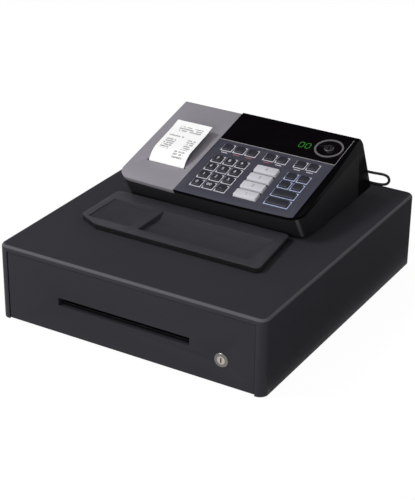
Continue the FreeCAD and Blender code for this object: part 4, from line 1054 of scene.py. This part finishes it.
# ---- keyboard and display --------------------------------------------------------------------------
class KeyKind(Enum):
    """The kinds of key, by the start of their nodes' names."""

    TOP = "key_top"
    DIGIT = "key_digit"
    DEPARTMENT = "key_department"
    ACTION = "key_action"
    TOTAL = "key_total"
    SUBTOTAL = "key_subtotal"

    @classmethod
    def of(cls, node: str) -> "KeyKind":
        """The kind of a key's node."""
        return next(kind for kind in cls if node.startswith(kind.value))

    @property
    def white(self) -> bool:
        """Whether the cap is white."""
        return self is KeyKind.DEPARTMENT

    @property
    def blue(self) -> bool:
        """Whether the outline is bluish."""
        return self in (KeyKind.ACTION, KeyKind.TOTAL, KeyKind.SUBTOTAL)


@dataclass
class Keyboard:
    """Panel, keys, their outlines, numbers and legends."""

    slope: Slope
    frame_width: float = 1.25 * MM
    frame_height: float = 0.18 * MM
    frame_gap: float = 0.7 * MM
    frame_round: float = 2.6 * MM
    edge: float = 0.7 * MM
    number_size: float = 8.0 * MM
    print_height: float = 0.05 * MM
    legend_gap: float = 2.6 * MM
    legend_width: float = 10.0 * MM
    legend_height: float = 1.3 * MM
    digits: tuple[str, ...] = ("0", "00", ".", "1", "2", "3", "4", "5", "6", "7", "8", "9")
    red_keys: tuple[int, ...] = (2, 3, 4)

    def build(self, finishes: "Finishes") -> None:
        """Dresses the panel and the keys, and prints what is on them.

        Args:
            finishes: every material.
        """
        softened("keyboard_panel", 0.4 * MM, finishes.panel)
        for node in sorted(frame["nodes"]):
            if not node.startswith("key_"):
                continue
            kind = KeyKind.of(node)
            softened(node, self.edge, finishes.white_key if kind.white else finishes.dark_key,
                     3)
            number = int(node.split("_")[-1]) if node[-1].isdigit() else 0
            if not kind.white:
                self._outline(node, finishes.blue_ink if kind.blue else finishes.ink)
            if kind is KeyKind.DIGIT:
                self._number(node, self.digits[number - 1], finishes.ink)
            if kind is KeyKind.DEPARTMENT:
                self._number(node, str(number), finishes.grey_ink)
            if kind is KeyKind.TOP:
                self._legend(node, finishes.red_ink if number in self.red_keys else finishes.ink)

    def _number(self, node: str, text: str, ink: bpy.types.Material) -> None:
        """Prints a plain number on a key.

        Args:
            node: the key's node.
            text: the number.
            ink: its finish.
        """
        low, high = self.slope.span(node)
        deselect()
        bpy.ops.object.text_add()
        piece = bpy.context.active_object
        piece.data.body = text
        piece.data.size = self.number_size
        piece.data.align_x = "CENTER"
        piece.data.align_y = "CENTER"
        piece.data.extrude = self.print_height
        piece.data.resolution_u = 3
        bpy.ops.object.convert(target="MESH")
        piece = bpy.context.active_object
        top = Vector(((low.x + high.x) / 2, (low.y + high.y) / 2, high.z))
        settle(piece, self.slope.matrix @ Matrix.Translation(top))
        finish_piece(piece, node + "_number", body_of(node), ink)

    def _legend(self, node: str, ink: bpy.types.Material) -> None:
        """Prints a short bar on the panel in front of a key.

        Args:
            node: the key's node.
            ink: its finish.
        """
        low, high = self.slope.span(node)
        middle = (low.x + high.x) / 2
        near = low.y - self.legend_gap - self.legend_height
        piece = add_box("legend", (middle - self.legend_width / 2, near, -self.print_height),
                        (middle + self.legend_width / 2, near + self.legend_height, self.print_height * 2))
        rounded(piece, self.print_height, 1)
        settle(piece, self.slope.matrix)
        finish_piece(piece, node + "_legend", "housing", ink)

    def _outline(self, node: str, ink: bpy.types.Material) -> None:
        """Prints a pale frame round a key.

        Args:
            node: the key's node.
            ink: its finish.
        """
        low, high = self.slope.span(node)
        flange = 1.0 * MM
        reach = self.frame_gap - flange
        frame_low = (low.x - reach, low.y - reach, 0.0)
        frame_high = (high.x + reach, high.y + reach, self.frame_height)
        piece = add_box("outline", frame_low, frame_high)
        bpy.ops.object.mode_set(mode="EDIT")
        bm = bmesh.from_edit_mesh(piece.data)
        for edge in bm.edges:
            direction = edge.verts[1].co - edge.verts[0].co
            edge.select_set(abs(direction.z) > 0.5 * direction.length)
        bmesh.update_edit_mesh(piece.data)
        bpy.ops.mesh.bevel(offset=self.frame_round, segments=5, affect="EDGES")
        bm = bmesh.from_edit_mesh(piece.data)
        for face in bm.faces:
            face.select_set(abs(face.normal.z) > 0.9)
        bmesh.update_edit_mesh(piece.data)
        bpy.ops.mesh.inset(thickness=self.frame_width, use_even_offset=True)
        bpy.ops.mesh.delete(type="FACE")
        bm = bmesh.from_edit_mesh(piece.data)
        rims = [edge for edge in bm.edges if edge.is_boundary]
        for edge in bm.edges:
            edge.select_set(edge in rims)
        bmesh.update_edit_mesh(piece.data)
        bpy.ops.mesh.bridge_edge_loops()
        bpy.ops.mesh.select_all(action="SELECT")
        bpy.ops.mesh.normals_make_consistent(inside=False)
        bpy.ops.object.mode_set(mode="OBJECT")
        settle(piece, self.slope.matrix)
        finish_piece(piece, node + "_outline", "housing", ink)


@dataclass
class Display:
    """Gloss panel with lit digits, pale lines that paint the highlight on its front and right edges, and the mode
    switch.
    """

    slope: Slope
    digit_x: tuple[float, ...] = (66.0 * MM, 76.0 * MM)
    digit_s: float = 161.5 * MM
    digit_width: float = 6.6 * MM
    digit_height: float = 11.5 * MM
    bar: float = 1.3 * MM
    # Width of the pale lines that paint the highlight on the lens's edges
    trim: float = 1.5 * MM
    proud: float = 0.06 * MM

    def build(self, finishes: "Finishes") -> None:
        """Dresses the panel, lights its digits and lays the pale lines of painted highlight on its edges.

        Args:
            finishes: every material.
        """
        softened("display_lens", 0.3 * MM, finishes.lens)
        dress("mode_ring", finishes.ring)
        dress("mode_dial", finishes.dial)
        for number, x in enumerate(self.digit_x):
            self._digit(number, x, finishes.lit)
        low, high = self.slope.span("display_lens")
        # Painted highlight: pale raised lines along the lens's front and right edges, where those edges would catch
        # the light
        self._line("front", (low.x, low.y), (high.x, low.y + self.trim), finishes.trim)
        self._line("right", (high.x - self.trim / 2, low.y), (high.x, high.y - self.trim), finishes.trim)

    def _line(self, name: str, low: Sequence[float], high: Sequence[float], trim: bpy.types.Material) -> None:
        """Lays a raised pale line on the panel's edge, which paints the edge's highlight.

        Args:
            name: which edge.
            low: nearest and leftmost corner, across and along.
            high: the opposite corner.
            trim: its finish.
        """
        piece = add_box("line", (low[0], low[1], -0.1 * MM), (high[0], high[1], 2 * self.proud))
        rounded(piece, self.proud, 2)
        settle(piece, self.slope.matrix)
        finish_piece(piece, "trim_" + name, "housing", trim)

    def _digit(self, number: int, x: float, lit: bpy.types.Material) -> None:
        """Lights the six bars of a nought.

        Args:
            number: the digit's place.
            x: its middle, across.
            lit: its finish.
        """
        w, h, b = self.digit_width / 2, self.digit_height / 2, self.bar / 2
        spans = [(-w + b, w - b, h - b, h + b), (-w + b, w - b, -h - b, -h + b)]
        for side in (-w, w):
            spans += [(side - b, side + b, b, h - 2 * b), (side - b, side + b, -h + 2 * b, -b)]
        bars = []
        for x0, x1, s0, s1 in spans:
            bars.append(add_box("bar", (x + x0, self.digit_s + s0, -0.2 * MM),
                                (x + x1, self.digit_s + s1, self.proud)))
        deselect()
        for bar in bars:
            bar.select_set(True)
        bpy.context.view_layer.objects.active = bars[0]
        bpy.ops.object.join()
        piece = bpy.context.active_object
        settle(piece, self.slope.matrix)
        finish_piece(piece, "digit_%d" % (number + 1), "housing", lit)


# ---- finishes of this register ---------------------------------------------------------------------
@dataclass
class Finishes:
    """Every material of the register, made once."""

    slope: Slope
    paint: bpy.types.Material = field(init=False)

    def __post_init__(self) -> None:
        """Makes the materials."""
        # The cabinet paint carries the painted highlight along the top's round edges
        self.paint = PaintedSteel("cabinet_paint", shade(52, 51, 56), fold=5.0 * MM).make()
        self.drawer_paint = PaintedSteel("drawer_paint", shade(70, 70, 74)).make()
        self.front = Moulded("drawer_front_plastic", shade(47, 46, 51), 0.5, specular=0.05).make()
        self.zinc = Metal("zinc_steel", shade(180, 182, 186), 0.35).make()
        self.coil = Metal("coil_metal", shade(150, 110, 80), 0.45).make()
        self.rubber = Rubber("foot_rubber", shade(24, 24, 25)).make()
        self.till = Moulded("till_plastic", shade(46, 46, 49), 0.55).make()
        self.clip = Moulded("clip_plastic", shade(34, 34, 36), 0.4).make()
        self.plate = Metal("lock_plate", shade(122, 120, 119), 0.28).make()
        self.brass = Metal("lock_face", shade(190, 182, 168), 0.25).make()
        # The case's plastic carries the painted highlight streak down the front right corner
        self.case = ShoulderedCase("case_plastic", shade(37, 37, 39), 0.42, specular=0.03, slope=self.slope,
                                   gloss=shade(9, 8, 10)).make()
        self.inner = Moulded("inner_plastic", shade(30, 30, 32), 0.5, specular=0.15).make()
        self.cover = Moulded("cover_plastic", shade(138, 135, 142), 0.42, specular=0.2).make()
        # The tray's edge colour is painted shade on its outer walls
        self.tray = EdgedTray("tray_plastic", shade(66, 65, 71), 0.4, specular=0.15, edge=shade(17, 16, 19)).make()
        self.panel = Moulded("panel_plastic", shade(65, 65, 76), 0.4, specular=0.15).make()
        self.lens = SmokedWindow("display_window", shade(9, 7, 9)).make()
        self.ring = Moulded("ring_silver", shade(104, 101, 104), 0.35).make()
        self.dial = Metal("dial_grey", shade(92, 90, 92), 0.4).make()
        self.lit = Lit("digit_green", shade(36, 118, 34), 0.8).make()
        self.dark_key = Moulded("key_dark", shade(44, 44, 52), 0.35).make()
        self.white_key = Moulded("key_white", shade(194, 193, 199), 0.4).make()
        self.ink = Moulded("outline_pale", shade(212, 211, 219), 0.5).make()
        self.blue_ink = Moulded("outline_blue", shade(184, 196, 230), 0.5).make()
        self.red_ink = Moulded("legend_red", shade(168, 96, 106), 0.5).make()
        self.grey_ink = Moulded("legend_grey", shade(120, 119, 124), 0.5).make()
        # Pale colour of the painted highlight lines on the display lens's edges
        self.trim = Moulded("trim_line", shade(140, 138, 143), 0.35).make()
        self.receipt = ReceiptPaper("receipt_paper", self.slope).make()
        self.plain_paper = ReceiptPaper("roll_paper", self.slope, blocks=()).make()
        self.board = Moulded("board_laminate", shade(38, 92, 52), 0.4).make()
        self.jacket = Rubber("cable_jacket", shade(18, 18, 19), 0.5).make()


def main() -> None:
    """Builds the register, sub-assembly by sub-assembly."""
    logging.basicConfig(level=logging.INFO, format="%(name)s: %(message)s")
    slope = Slope()
    finishes = Finishes(slope)
    Studio().build()
    Cable().build(finishes.jacket)
    Cabinet().build(finishes)
    Housing().build(finishes)
    Keyboard(slope).build(finishes)
    Display(slope).build(finishes)


if __name__ == "__main__":
    main()
